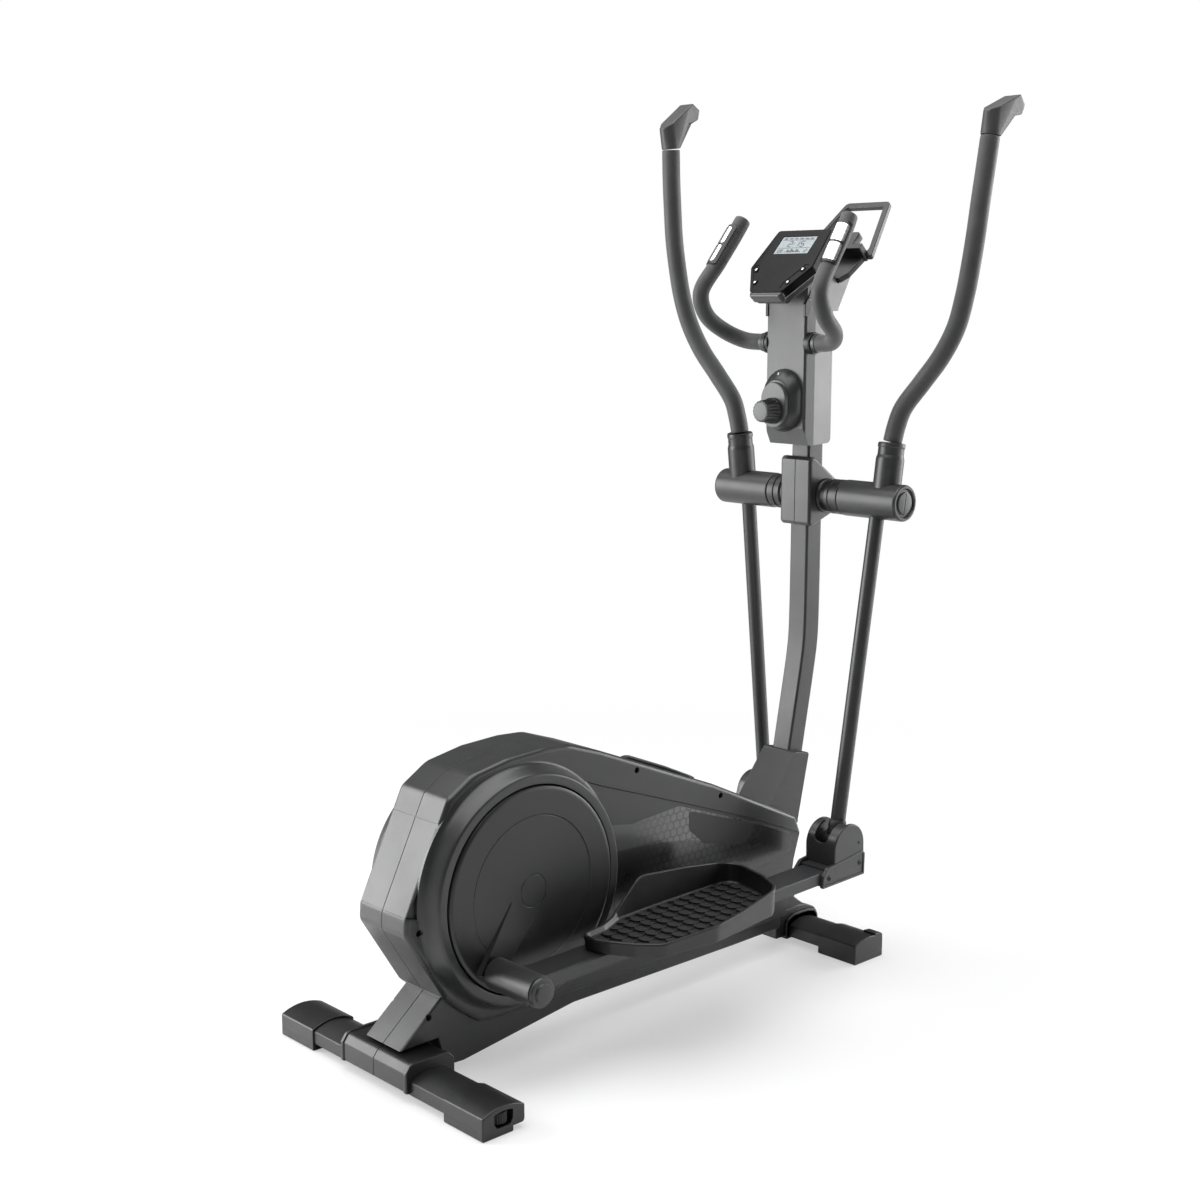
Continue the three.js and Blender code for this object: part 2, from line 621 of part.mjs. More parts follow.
function pivotBush(side) {
  const end = TEE_START - 0.8;
  const profile = [[12.5, 38.4], [34, 38.4], [34, 66], [31, 68], [31, 73], [34, 75], [34, end],
    [12.5, end], [12.5, 38.4]];
  return turnedY(profile, side, ...PIVOT, 16);
}

// ---------- swing arms ----------
// Handle centre line: [forward, outward, up] from the mast pivot, in the handle's own lean.
const HANDLE_LINE = [[2, 182, 40], [2, 182, 110], [3, 197, 178], [3, 234, 228], [1, 272, 278], [-1, 299, 332],
  [-4, 312, 389], [-5, 318, 447], [-5, 321, 506], [-3, 321, 564], [0, 321, 622], [4, 320, 680]];
// Moulded head on each handle: a round neck, a thumb face sloping forward and up, and a blunt nose.
// Corners are [forward, half width, up] about the handle's centre line at HANDLE_REACH.
const HANDLE_REACH = 320;
const TIP_NECK = { forward: 4.4, radius: 18.5, low: 681.6, high: 694 };
const TIP_LIP = [[-16.5, 7, 720], [-17, 7, 724], [0, 18.5, 733]];
const TIP_WAIST = [[16, 18.5, 729], [57, 13, 727.6], [47, 18.5, 760]];
const TIP_NOSE = [[59, 18.5, 767], [82, 14, 752.6], [76, 14, 734]];
const HANDLE_DETAIL = { steps: 13, sides: 8 };
const SOCKET_TOP = 112;
const LOWER_ARM_REACH = 168;

function leaned([forward, outward, up], side) {
  const c = Math.cos(HANDLE_LEAN);
  const s = Math.sin(HANDLE_LEAN);
  return [forward * c - up * s, side * outward, up * c + forward * s];
}

// Built about the mast pivot, hanging straight down its own -Z.
function swingArm(side) {
  const inside = TEE_START + 9.5;
  const tee = turnedY([[0, 231], [32, 231], [35, 227], [35, TEE_START], [12.7, TEE_START], [12.7, inside],
    [31, inside], [31, 213], [12.7, 213], [12.7, 222], [0, 222]], side, 0, 0, 16);
  const hollow = turnedY([[0, inside], [31, inside], [31, 213], [0, 213]], side, 0, 0, 16);
  const axleRoom = rodY(12.7, span(side, TEE_START - 4, 222), 0, 0);
  const core = bentTube(HANDLE_LINE.map((p) => leaned(p, side)), 12, HANDLE_DETAIL);
  const socketLine = [0, 60, SOCKET_TOP].map((up) => leaned([1.3, 182, up], side));
  const socket = bentTube(socketLine, 27, { steps: 2, sides: 16 });
  const lower = rodZ(14.5, [-SWING_ARM_SPAN, -20], 0, side * LOWER_ARM_REACH, 16);
  const eye = rodY(17, span(side, 147, 189), 0, -SWING_ARM_SPAN);
  const eyeBore = rodY(6, span(side, 140, 200), 0, -SWING_ARM_SPAN, 16);
  const body = join(tee, cut(join(socket, lower), hollow, axleRoom), core, eye);
  return cut(body, eyeBore);
}

function handleGrip(side) {
  const sleeve = bentTube(HANDLE_LINE.map((p) => leaned(p, side)), 18, { bore: 12.9, ...HANDLE_DETAIL });
  return cut(sleeve, block([-60, 60], span(side, 100, 300), [0, SOCKET_TOP + 1.2]));
}

function handleTip(side) {
  const bothSides = (corners) => corners.flatMap(([forward, half, up]) =>
    [half, -half].map((across) => leaned([forward, HANDLE_REACH + across, up], side)));
  const { forward, radius, low, high } = TIP_NECK;
  const neck = [low, high].flatMap((up) =>
    circlePoints(radius, 20).map(([a, b]) => leaned([forward + a, HANDLE_REACH + b, up], side)));
  const shoulder = hull([...neck, ...bothSides(TIP_LIP), ...bothSides(TIP_WAIST)]);
  return join(shoulder, hull([...bothSides(TIP_WAIST), ...bothSides(TIP_NOSE)]));
}

// ---------- pedal arms ----------
// Built about the crank pin with the tube along its own +X.
const ARM_TUBE = { inner: 140, outer: 200, bottom: -17.5, top: 7.5, end: 850 };
const KNUCKLE_LOCAL = [
  PEDAL_ARM_SPAN * Math.cos(TUBE_BELOW_KNUCKLE),
  PEDAL_ARM_SPAN * Math.sin(TUBE_BELOW_KNUCKLE),
];

function pedalArm(side) {
  const { inner, outer, bottom, top, end } = ARM_TUBE;
  const wall = 2;
  const tube = cut(
    block([-12, end], span(side, inner, outer), [bottom, top]),
    block([30, end + 1], span(side, inner + wall, outer - wall), [bottom + wall, top - wall]),
  );
  const sleeve = turnedY([[0, 240], [16, 239], [25, 234], [27, 230], [27, 117.5], [9.6, 117.5], [9.6, 228],
    [0, 228]], side, 0, 0, 14);
  const pinRoom = rodY(9.6, span(side, 110, 228), 0, 0, 14);
  return cut(join(tube, sleeve), pinRoom);
}

function knuckleCover(side) {
  const [kx, kz] = KNUCKLE_LOCAL;
  const { inner, outer, bottom, top } = ARM_TUBE;
  const rear = kx - 48;
  const front = kx + 40;
  const arch = arcPoints([(rear + front) / 2, kz - 4], (front - rear) / 2, 0, Math.PI, 14);
  const cheek = [[rear, -6], [front, -6], ...arch];
  const skirt = [[rear - 37, bottom - 5], [front, bottom - 5], [front + 2, 20], [front - 6, 26],
    [rear - 20, 16], [rear - 34, 2]];
  const outerCheek = plate(cheek, span(side, outer + 1.5, outer + 6.5));
  const innerCheek = plate(cheek, span(side, inner - 6.5, inner - 1.5));
  const outerSkirt = plate(skirt, span(side, outer + 0.6, outer + 8));
  const innerSkirt = plate(skirt, span(side, inner - 8, inner - 0.6));
  const deck = block([rear - 20, front], span(side, inner - 2, outer + 2), [top + 0.4, top + 3.4]);
  const belly = block([rear - 30, front], span(side, inner - 2, outer + 2), [bottom - 4, bottom - 0.4]);
  const rearWall = block([rear, rear + 4], span(side, inner - 2, outer + 2), [top + 1, kz + 6]);
  const nose = block([front - 0.2, front + 3], span(side, inner - 2, outer + 2), [bottom - 4, top + 26]);
  return join(outerCheek, innerCheek, outerSkirt, innerSkirt, deck, belly, rearWall, nose);
}

// Foot tray: a deep wall on the inside and in front, low at the rear and outside.
const PEDAL_PLAN = [[262, 124], [337, 122], [520, 123], [546, 134], [553, 160], [540, 225], [519, 272],
  [500, 287], [336, 303], [225, 286], [190, 252], [168, 214], [156, 185], [156, 160], [170, 150], [212, 146]];
const PEDAL_TREAD = 24;

function pedal(side) {
  const plan = PEDAL_PLAN.map(([x, y]) => [x, side * y]);
  const bottom = ARM_TUBE.top + 0.4;
  const high = 92;
  const tray = cut(column(plan, [bottom, high]), column(insetOutline(plan, 5), [PEDAL_TREAD, high + 1]));
  const aboveInner = [[90, 34], [255, 34], [325, 88], [440, 76], [545, 60], [570, 60], [570, 100], [90, 100]];
  const aboveOuter = [[90, 34], [225, 34], [400, 44], [510, 58], [570, 58], [570, 100], [90, 100]];
  return cut(tray, plate(aboveInner, span(side, 110, 145)), plate(aboveOuter, span(side, 144.9, 310)));
}

// ---------- console casing, knob, console and book rest ----------
const CASING_FRONT = 842;
const CASING_PLAN = [[736, -46], [741, -49], [766, -49], [CASING_FRONT, -29], [CASING_FRONT, 29], [766, 49],
  [741, 49], [736, 46]];
const CASING_SIDE = [[736, 1309], [736, 1036], [752, 1003], [CASING_FRONT, 1003], [CASING_FRONT, 1262],
  [885, 1328], [870.6, 1341.2], [839.9, 1309.2], [786.1, 1360.8]];
const KNOB = { z: 1070, face: 700 };

function consoleCasing() {
  const neckPlan = CASING_PLAN.map(([x, y]) => (x === CASING_FRONT ? [888, Math.sign(y) * 36] : [x, y]));
  const lower = plate(CASING_SIDE, [-60, 60]).intersect(column(CASING_PLAN, [990, 1262]));
  const neck = plate(CASING_SIDE, [-60, 60]).intersect(column(neckPlan, [1255, 1370]));
  const shrink = ([x, y]) => [x + (x < 750 ? 3 : x > 840 ? -3 : 0), y - Math.sign(y) * 3];
  const inside = column(CASING_PLAN.map(shrink), [1040, 1252]);
  const { rear, front, halfWidth } = MAST;
  const mastRoom = block([rear - 0.5, front + 0.5], [-halfWidth - 0.5, halfWidth + 0.5], [990, 1185]);
  const barRoom = rodY(FIXED_BAR.radius + 0.6, [-80, 80], FIXED_BAR.x, FIXED_BAR.z);
  const boss = (side) => rodY(21, span(side, 46, 61.5), FIXED_BAR.x, FIXED_BAR.z);
  const shaftRoom = rodX(5, [700, 770], 0, KNOB.z);
  const skin = cut(join(lower, neck), inside);
  return cut(join(skin, boss(LEFT), boss(RIGHT)), mastRoom, barRoom, shaftRoom);
}

function oval(halfWidth, lowZ, highZ, [x0, x1]) {
  const points = [
    ...arcPoints([0, highZ - halfWidth], halfWidth, 0, Math.PI, 8),
    ...arcPoints([0, lowZ + halfWidth], halfWidth, Math.PI, 2 * Math.PI, 8),
  ];
  const depth = Math.abs(x1 - x0);
  const geometry = new THREE.ExtrudeGeometry(outline(points), { depth, bevelEnabled: false });
  // Shape X becomes Y, shape Y becomes Z and the depth runs along X.
  geometry.rotateX(Math.PI / 2);
  geometry.rotateZ(Math.PI / 2);
  return place(geometry, Math.min(x0, x1), 0, 0);
}

function knobHousing() {
  const stages = [[43, 1028, 1149, 735.7, 724], [39, 1031, 1140, 724.1, 712], [31, 1036, 1124, 712.1, 702]];
  const body = join(...stages.map(([half, low, high, from, to]) => oval(half, low, high, [from, to])));
  return cut(body, rodX(5, [690, 745], 0, KNOB.z));
}

function tensionKnob() {
  const { z, face } = KNOB;
  const profile = [[0, face - 34], [19, face - 34], [21, face - 30], [21, face - 22], [25, face - 4],
    [25, face + 1.6], [4.2, face + 1.6], [4.2, 748], [0, 748]];
  return turnedX(profile, 0, z);
}

// Console pieces are built on the face: X up the slope, Y across, Z out of it.
const CONSOLE_FACE = [[0, 40], [63, 77], [162, 66], [162, -66], [63, -77], [0, -40]];
const SCREEN = { low: 99, high: 144, half: 43 };
const BUTTONS = [
  { name: 'button_upper_left', at: [57, 58] },
  { name: 'button_lower_left', at: [24, 41] },
  { name: 'button_upper_right', at: [57, -58] },
  { name: 'button_lower_right', at: [24, -41] },
];

function consoleBody() {
  const face = column(CONSOLE_FACE, [-20, 0]);
  const back = column([[-2, 36], [63, 70], [150, 60], [150, -60], [63, -70], [-2, -36]], [-34, -19]);
  const lip = column([[-9, 38], [2, 42], [2, -42], [-9, -38]], [-22, -4]);
  const { low, high, half } = SCREEN;
  const screenRoom = block([low - 0.4, high + 0.4], [-half - 0.4, half + 0.4], [-4, 1]);
  const buttonRooms = BUTTONS.map(({ at }) => rodZ(6.4, [-8, 1], at[0], at[1]));
  const casingRoom = block([-20, -1], [-55, 55], [-60, -22.5]);
  return cut(join(face, back, lip), screenRoom, casingRoom, ...buttonRooms);
}

function consoleScreen() {
  return block([SCREEN.low, SCREEN.high], [-SCREEN.half, SCREEN.half], [-3.7, -0.8]);
}

function button({ at }) {
  return rodZ(5.8, [-5.5, 1.2], at[0], at[1], 16);
}

function tabletFrame() {
  const loop = outline([[186, 92], [336, 54], [336, -54], [186, -92]]);
  loop.holes.push(new THREE.Path([[200, 76], [200, -76], [322, -45], [322, 45]]
    .map(([a, b]) => new THREE.Vector2(a, b))));
  const frame = column(loop, [-108, -97]);
  const rest = column([[182, 80], [196, 80], [196, -80], [182, -80]], [-108, -72]);
  const spine = column([[126, 48], [140, 62], [196, 78], [196, -78], [140, -62], [126, -48]], [-108, -97]);
  const hook = block([190, 238], [-44, -24], [-98, -82]);
  const stay = block([126, 142], [-26, 26], [-98, -34.4]);
  return join(frame, rest, spine, hook, stay);
}

// ---------- fixed handlebars ----------
const FIXED_DETAIL = { steps: 10, sides: 8 };
const FIXED_LINE = [[752, 66, 1198], [742, 108, 1201], [713, 138, 1219], [671, 149, 1251], [656, 149, 1292],
  [696, 141, 1351], [734, 137, 1400], [757, 133, 1434]];

function fixedHandlebar() {
  const crossbar = rodY(FIXED_BAR.radius, [-66.5, 66.5], FIXED_BAR.x, FIXED_BAR.z, 12);
  const halves = [LEFT, RIGHT].map((side) =>
    bentTube(FIXED_LINE.map(([x, y, z]) => [x, side * y, z]), FIXED_BAR.radius, FIXED_DETAIL));
  return join(crossbar, ...halves);
}

function fixedGrip(side) {
  const line = FIXED_LINE.map(([x, y, z]) => [x, side * y, z]);
  return bentTube(line, 16, { bore: 12.3, ...FIXED_DETAIL });
}

// ---------- tension cable ----------
function tensionCable() {
  const rearAt = (z) => MAST.rear - Math.max(0, MAST.bendZ - z) * MAST.lean;
  const inMast = (z) => [rearAt(z) + MAST.wall + 3.5, 0, z];
  const line = [[794, 0, 1040], inMast(940), inMast(760), inMast(640), inMast(560), inMast(450), inMast(372),
    [rearAt(336), 0, 336], [714, 0, 292], [700, 0, 266], [664, 0, 262], [580, 0, 284], [520, 0, 290],
    [482, 0, 286]];
  return bentTube(line, 2, { steps: 32, sides: 6 });
}

// ---------- put together ----------
add(machine, 'main_frame', mainFrame(), powderCoat);
add(machine, 'rear_stabiliser', stabiliser(REAR_STABILISER), powderCoat);
add(machine, 'front_stabiliser', stabiliser(FRONT_STABILISER), powderCoat);
add(machine, 'rear_saddle_cover', rearSaddleCover(), blackPlastic);
add(machine, 'front_saddle_cover', frontSaddleCover(), blackPlastic);
add(machine, 'crank_axle', crankAxle(), bareSteel);
add(machine, 'drive_pulley', drivePulley(), blackPlastic);
add(machine, 'drive_belt', belt(), beltRubber);
add(machine, 'flywheel', flywheel(), castIron);
add(machine, 'flywheel_axle', rodY(6, [-29, 63], FLYWHEEL.x, FLYWHEEL.z, 20), bareSteel);
add(machine, 'brake_bracket', brakeBracket(), bareSteel);
add(machine, 'tension_cable', tensionCable(), beltRubber);
add(machine, 'mast', mast(), powderCoat);
add(machine, 'mast_boot', boot(), blackPlastic);
add(machine, 'pivot_axle', rodY(12, [-220, 220], ...PIVOT), bareSteel);
add(machine, 'console_casing', consoleCasing(), greyPlastic);
add(machine, 'knob_housing', knobHousing(), darkPlastic);
add(machine, 'tension_knob', tensionKnob(), blackPlastic);
add(machine, 'fixed_handlebar', fixedHandlebar(), powderCoat);

const consoleGroup = pitchedGroup(CONSOLE_FOOT, CONSOLE_TILT);
add(consoleGroup, 'console_body', consoleBody(), blackPlastic);
add(consoleGroup, 'console_screen', consoleScreen(), lcdGlass);
add(consoleGroup, 'tablet_frame', tabletFrame(), blackPlastic);
for (const each of BUTTONS) {
  add(consoleGroup, each.name, button(each), greyPlastic);
}

for (const side of [LEFT, RIGHT]) {
  const which = sideName(side);
  add(machine, `rear_cap_${which}`, rearCap(side), blackPlastic);
  add(machine, `front_cap_${which}`, frontCap(side), blackPlastic);
  add(machine, `leveller_${which}`, leveller(side), blackPlastic);
  add(machine, `transport_roller_${which}`, roller(side), beltRubber);
  add(machine, `housing_${which}`, housing(side), darkPlastic);
  add(machine, `crank_bearing_${which}`, crankBearing(side), bareSteel);
  add(machine, `crank_arm_${which}`, crankArm(side), bareSteel);
  add(machine, `crank_disc_${which}`, crankDisc(side), darkPlastic);
  add(machine, `pivot_block_${which}`, pivotBlock(side), darkPlastic);
  add(machine, `pivot_bush_${which}`, pivotBush(side), blackPlastic);
  add(machine, `fixed_grip_${which}`, fixedGrip(side), foam);

  const { pin, armPitch, swing } = linkage(side);
  const armGroup = pitchedGroup(pin, armPitch);
  add(armGroup, `pedal_arm_${which}`, pedalArm(side), powderCoat);
  add(armGroup, `knuckle_cover_${which}`, knuckleCover(side), darkPlastic);
  add(armGroup, `pedal_${which}`, pedal(side), blackPlastic);

  const swingGroup = pitchedGroup(PIVOT, swing);
  add(swingGroup, `swing_arm_${which}`, swingArm(side), powderCoat);
  add(swingGroup, `handle_grip_${which}`, handleGrip(side), foam);
  add(swingGroup, `handle_tip_${which}`, handleTip(side), blackPlastic);
}

export default trainer;
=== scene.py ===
"""Looks of the elliptical trainer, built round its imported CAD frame.

Shapes are drawn in millimetres in a few local frames (machine, console, pedal arm, swing arm)
and settled into the part's own frame in metres. Every piece rides on a CAD body.
"""
import json
import math

import bmesh
import bpy
from mathutils import Matrix, Vector


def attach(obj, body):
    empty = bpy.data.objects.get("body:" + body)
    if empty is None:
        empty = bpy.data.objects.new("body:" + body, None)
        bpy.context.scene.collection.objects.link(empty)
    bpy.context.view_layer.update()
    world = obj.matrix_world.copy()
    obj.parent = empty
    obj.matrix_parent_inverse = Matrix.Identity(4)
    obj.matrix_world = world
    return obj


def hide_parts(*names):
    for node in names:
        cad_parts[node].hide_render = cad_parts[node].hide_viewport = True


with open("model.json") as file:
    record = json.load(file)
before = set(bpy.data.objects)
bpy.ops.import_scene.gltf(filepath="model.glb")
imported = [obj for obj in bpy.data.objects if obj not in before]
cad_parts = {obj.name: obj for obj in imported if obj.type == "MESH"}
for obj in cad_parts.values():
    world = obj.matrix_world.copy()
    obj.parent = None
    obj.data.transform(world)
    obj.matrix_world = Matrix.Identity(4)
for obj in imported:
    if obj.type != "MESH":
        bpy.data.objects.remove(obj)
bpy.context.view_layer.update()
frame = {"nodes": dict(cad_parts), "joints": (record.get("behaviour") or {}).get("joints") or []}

MM = 0.001
RIGHT, LEFT = -1, 1
SIDES = {"left": LEFT, "right": RIGHT}
FULL_TURN = 2 * math.pi

# ---------------------------------------------------------------- frame data
JOINTS = {joint["name"]: joint for joint in frame["joints"]}


def joint_point(name):
    return Vector(JOINTS[name]["pos_m"])


CRANK = joint_point("crank_spin")
MACHINE = Matrix.Translation((CRANK.x, 0, 0)) @ Matrix.Scale(MM, 4)


def in_machine(name):
    """A joint's place in the machine frame: (x, z) in millimetres."""
    point = joint_point(name)
    return (point.x - CRANK.x) / MM, point.z / MM


CRANK_HEIGHT = CRANK.z / MM
PIVOT = in_machine("swing_arm_turn_left")
PINS = {side: in_machine(f"pedal_arm_turn_{word}") for word, side in SIDES.items()}
KNOB_HEIGHT = in_machine("tension_turn")[1]
ROLLER = in_machine("roller_spin_left")
LEVELLER = in_machine("leveller_turn_left")

PEDAL_ARM_SPAN = 812.0          # crank pin to knuckle
SWING_ARM_SPAN = 658.6          # mast pivot to knuckle
TUBE_BELOW_KNUCKLE = math.radians(3.28)
HANDLE_LEAN = math.radians(1)
CONSOLE_FOOT = (675.0, 1295.0)
CONSOLE_TILT = math.radians(46.25)
DISC_RADIUS = 179.5
DISC_FACE = 104.0


def local_frame(x, z, pitch):
    """Millimetres in a frame at (x, z) of the machine, its X axis pitched up, to metres."""
    place = Matrix.Translation((x, 0, z)) @ Matrix.Rotation(-pitch, 4, "Y")
    return MACHINE @ place


def linkage(side):
    pin = Vector(PINS[side])
    across = Vector(PIVOT) - pin
    distance = across.length
    along = (PEDAL_ARM_SPAN ** 2 - SWING_ARM_SPAN ** 2 + distance ** 2) / (2 * distance)
    aside = math.sqrt(PEDAL_ARM_SPAN ** 2 - along ** 2)
    unit = across / distance
    knuckle = pin + unit * along + Vector((unit.y, -unit.x)) * aside
    reach = knuckle - pin
    pitch = math.atan2(reach.y, reach.x) - TUBE_BELOW_KNUCKLE
    swing = math.atan2(knuckle.x - PIVOT[0], PIVOT[1] - knuckle.y)
    return pitch, swing


ARM_FRAMES = {}
SWING_FRAMES = {}
for each_side in (LEFT, RIGHT):
    arm_pitch, arm_swing = linkage(each_side)
    ARM_FRAMES[each_side] = local_frame(*PINS[each_side], arm_pitch)
    SWING_FRAMES[each_side] = local_frame(*PIVOT, arm_swing)
CONSOLE = local_frame(*CONSOLE_FOOT, CONSOLE_TILT)
KNUCKLE = (PEDAL_ARM_SPAN * math.cos(TUBE_BELOW_KNUCKLE), PEDAL_ARM_SPAN * math.sin(TUBE_BELOW_KNUCKLE))

# ---------------------------------------------------------------- materials


class Nodes:
    """Short names for building a material's node tree."""

    def __init__(self, name):
        self.material = bpy.data.materials.new(name)
        self.material.use_nodes = True
        self.tree = self.material.node_tree
        self.shader = self.tree.nodes["Principled BSDF"]

    def add(self, kind, **values):
        node = self.tree.nodes.new(kind)
        for key, value in values.items():
            setattr(node, key, value)
        return node

    def link(self, source, target):
        self.tree.links.new(source, target)

    def coordinates(self):
        return self.add("ShaderNodeTexCoord").outputs["Object"]

    def noise(self, scale, detail=2.0, roughness=0.5):
        node = self.add("ShaderNodeTexNoise")
        node.inputs["Scale"].default_value = scale
        node.inputs["Detail"].default_value = detail
        node.inputs["Roughness"].default_value = roughness
        self.link(self.coordinates(), node.inputs["Vector"])
        return node.outputs["Fac"]

    def spread(self, source, low, high, start=0.3, end=0.7):
        node = self.add("ShaderNodeMapRange")
        self.link(source, node.inputs["Value"])
        for key, value in (("From Min", start), ("From Max", end), ("To Min", low), ("To Max", high)):
            node.inputs[key].default_value = value
        return node.outputs["Result"]

    def math(self, operation, first, second=0.0):
        node = self.add("ShaderNodeMath", operation=operation)
        for socket, value in zip(node.inputs, (first, second)):
            if isinstance(value, (int, float)):
                socket.default_value = value
            else:
                self.link(value, socket)
        return node.outputs[0]

    def mix(self, factor, first, second):
        node = self.add("ShaderNodeMix", data_type="RGBA")
        self.link(factor, node.inputs["Factor"])
        for socket, value in ((node.inputs[6], first), (node.inputs[7], second)):
            if isinstance(value, tuple):
                socket.default_value = (*value, 1)
            else:
                self.link(value, socket)
        return node.outputs[2]

    def bump(self, height, strength, distance=0.0004):
        node = self.add("ShaderNodeBump")
        node.inputs["Strength"].default_value = strength
        node.inputs["Distance"].default_value = distance
        self.link(height, node.inputs["Height"])
        self.link(node.outputs["Normal"], self.shader.inputs["Normal"])


def tinted(colour, factor):
    return tuple(min(1.0, channel * factor) for channel in colour)


SMUDGE = 0.06                   # how far smudges move a surface's roughness
WORN = 3.0                      # how much paler a worn edge is


def surface(name, colour, roughness, grain=900.0, grain_strength=0.15, variation=0.12, wear=0.0,
            specular=0.5):
    """A moulded or coated surface: mottled colour, uneven roughness, fine grain and worn edges."""
    n = Nodes(name)
    shader = n.shader
    shader.inputs["Specular IOR Level"].default_value = specular
    mottle = n.spread(n.noise(14, 4, 0.6), 0.0, 1.0)
    base = n.mix(mottle, tinted(colour, 1 - variation), tinted(colour, 1 + variation))
    if wear:
        edge = n.spread(n.add("ShaderNodeNewGeometry").outputs["Pointiness"], 0.0, wear, 0.52, 0.60)
        patchy = n.math("MULTIPLY", edge, n.spread(n.noise(60, 3, 0.7), 0.3, 1.0))
        base = n.mix(patchy, base, tinted(colour, WORN))
    n.link(base, shader.inputs["Base Color"])
    smudge = n.spread(n.noise(7, 5, 0.65), roughness - SMUDGE, roughness + SMUDGE)
    n.link(smudge, shader.inputs["Roughness"])
    n.bump(n.noise(grain, 3, 0.6), grain_strength)
    return n.material


def foam_surface(name, colour):
    """Closed-cell grip foam: dull, with a fine pebbled skin."""
    n = Nodes(name)
    shader = n.shader
    shader.inputs["Specular IOR Level"].default_value = 0.35
    shader.inputs["Sheen Weight"].default_value = 0.25
    shader.inputs["Sheen Roughness"].default_value = 0.6
    cells = n.add("ShaderNodeTexVoronoi")
    cells.inputs["Scale"].default_value = 620
    n.link(n.coordinates(), cells.inputs["Vector"])
    mottle = n.spread(n.noise(30, 4, 0.6), 0.0, 1.0)
    n.link(n.mix(mottle, tinted(colour, 0.82), tinted(colour, 1.2)), shader.inputs["Base Color"])
    n.link(n.spread(n.noise(12, 3), 0.5, 0.64), shader.inputs["Roughness"])
    n.bump(cells.outputs["Distance"], 0.25, 0.0003)
    return n.material


def brushed_surface(name, colour, roughness, stretch=(4, 4, 400)):
    """Metal with fine lines drawn along one way."""
    n = Nodes(name)
    n.shader.inputs["Metallic"].default_value = 1.0
    mapping = n.add("ShaderNodeMapping")
    mapping.inputs["Scale"].default_value = stretch
    n.link(n.coordinates(), mapping.inputs["Vector"])
    lines = n.add("ShaderNodeTexNoise")
    lines.inputs["Scale"].default_value = 6
    lines.inputs["Detail"].default_value = 3
    n.link(mapping.outputs["Vector"], lines.inputs["Vector"])
    drawn = lines.outputs["Fac"]
    n.link(n.mix(n.spread(drawn, 0, 1), tinted(colour, 0.85), tinted(colour, 1.1)),
           n.shader.inputs["Base Color"])
    n.link(n.spread(drawn, roughness - 0.06, roughness + 0.08), n.shader.inputs["Roughness"])
    n.bump(drawn, 0.1, 0.0002)
    return n.material


HEX_CELL = 16.5 * MM            # honeycomb pitch on the housing's decal


def hex_distance(n, across, up):
    """Distance from the nearest honeycomb cell's middle, 0 to 0.5 at its edge."""
    period = (1.0, math.sqrt(3), 1.0)
    half = (0.5, math.sqrt(3) / 2, 0.0)

    def vector(operation, first, second):
        node = n.add("ShaderNodeVectorMath", operation=operation)
        for socket, value in zip(node.inputs, (first, second)):
            if isinstance(value, tuple):
                socket.default_value = value
            else:
                n.link(value, socket)
        return node

    combined = n.add("ShaderNodeCombineXYZ")
    n.link(n.math("ADD", n.math("DIVIDE", across, HEX_CELL), 200), combined.inputs[0])
    n.link(n.math("ADD", n.math("DIVIDE", up, HEX_CELL), 200 * math.sqrt(3)), combined.inputs[1])
    spot = combined.outputs[0]
    one = vector("SUBTRACT", vector("MODULO", spot, period).outputs[0], half).outputs[0]
    shifted = vector("SUBTRACT", spot, half).outputs[0]
    two = vector("SUBTRACT", vector("MODULO", shifted, period).outputs[0], half).outputs[0]
    nearer = n.math("LESS_THAN", vector("DOT_PRODUCT", one, one).outputs["Value"],
                    vector("DOT_PRODUCT", two, two).outputs["Value"])
    pick = n.add("ShaderNodeMix", data_type="VECTOR")
    n.link(nearer, pick.inputs["Factor"])
    n.link(two, pick.inputs[4])
    n.link(one, pick.inputs[5])
    folded = vector("ABSOLUTE", pick.outputs[1], (0, 0, 0)).outputs[0]
    slant = vector("DOT_PRODUCT", folded, half).outputs["Value"]
    parts = n.add("ShaderNodeSeparateXYZ")
    n.link(folded, parts.inputs[0])
    return n.math("MAXIMUM", slant, parts.outputs[0])


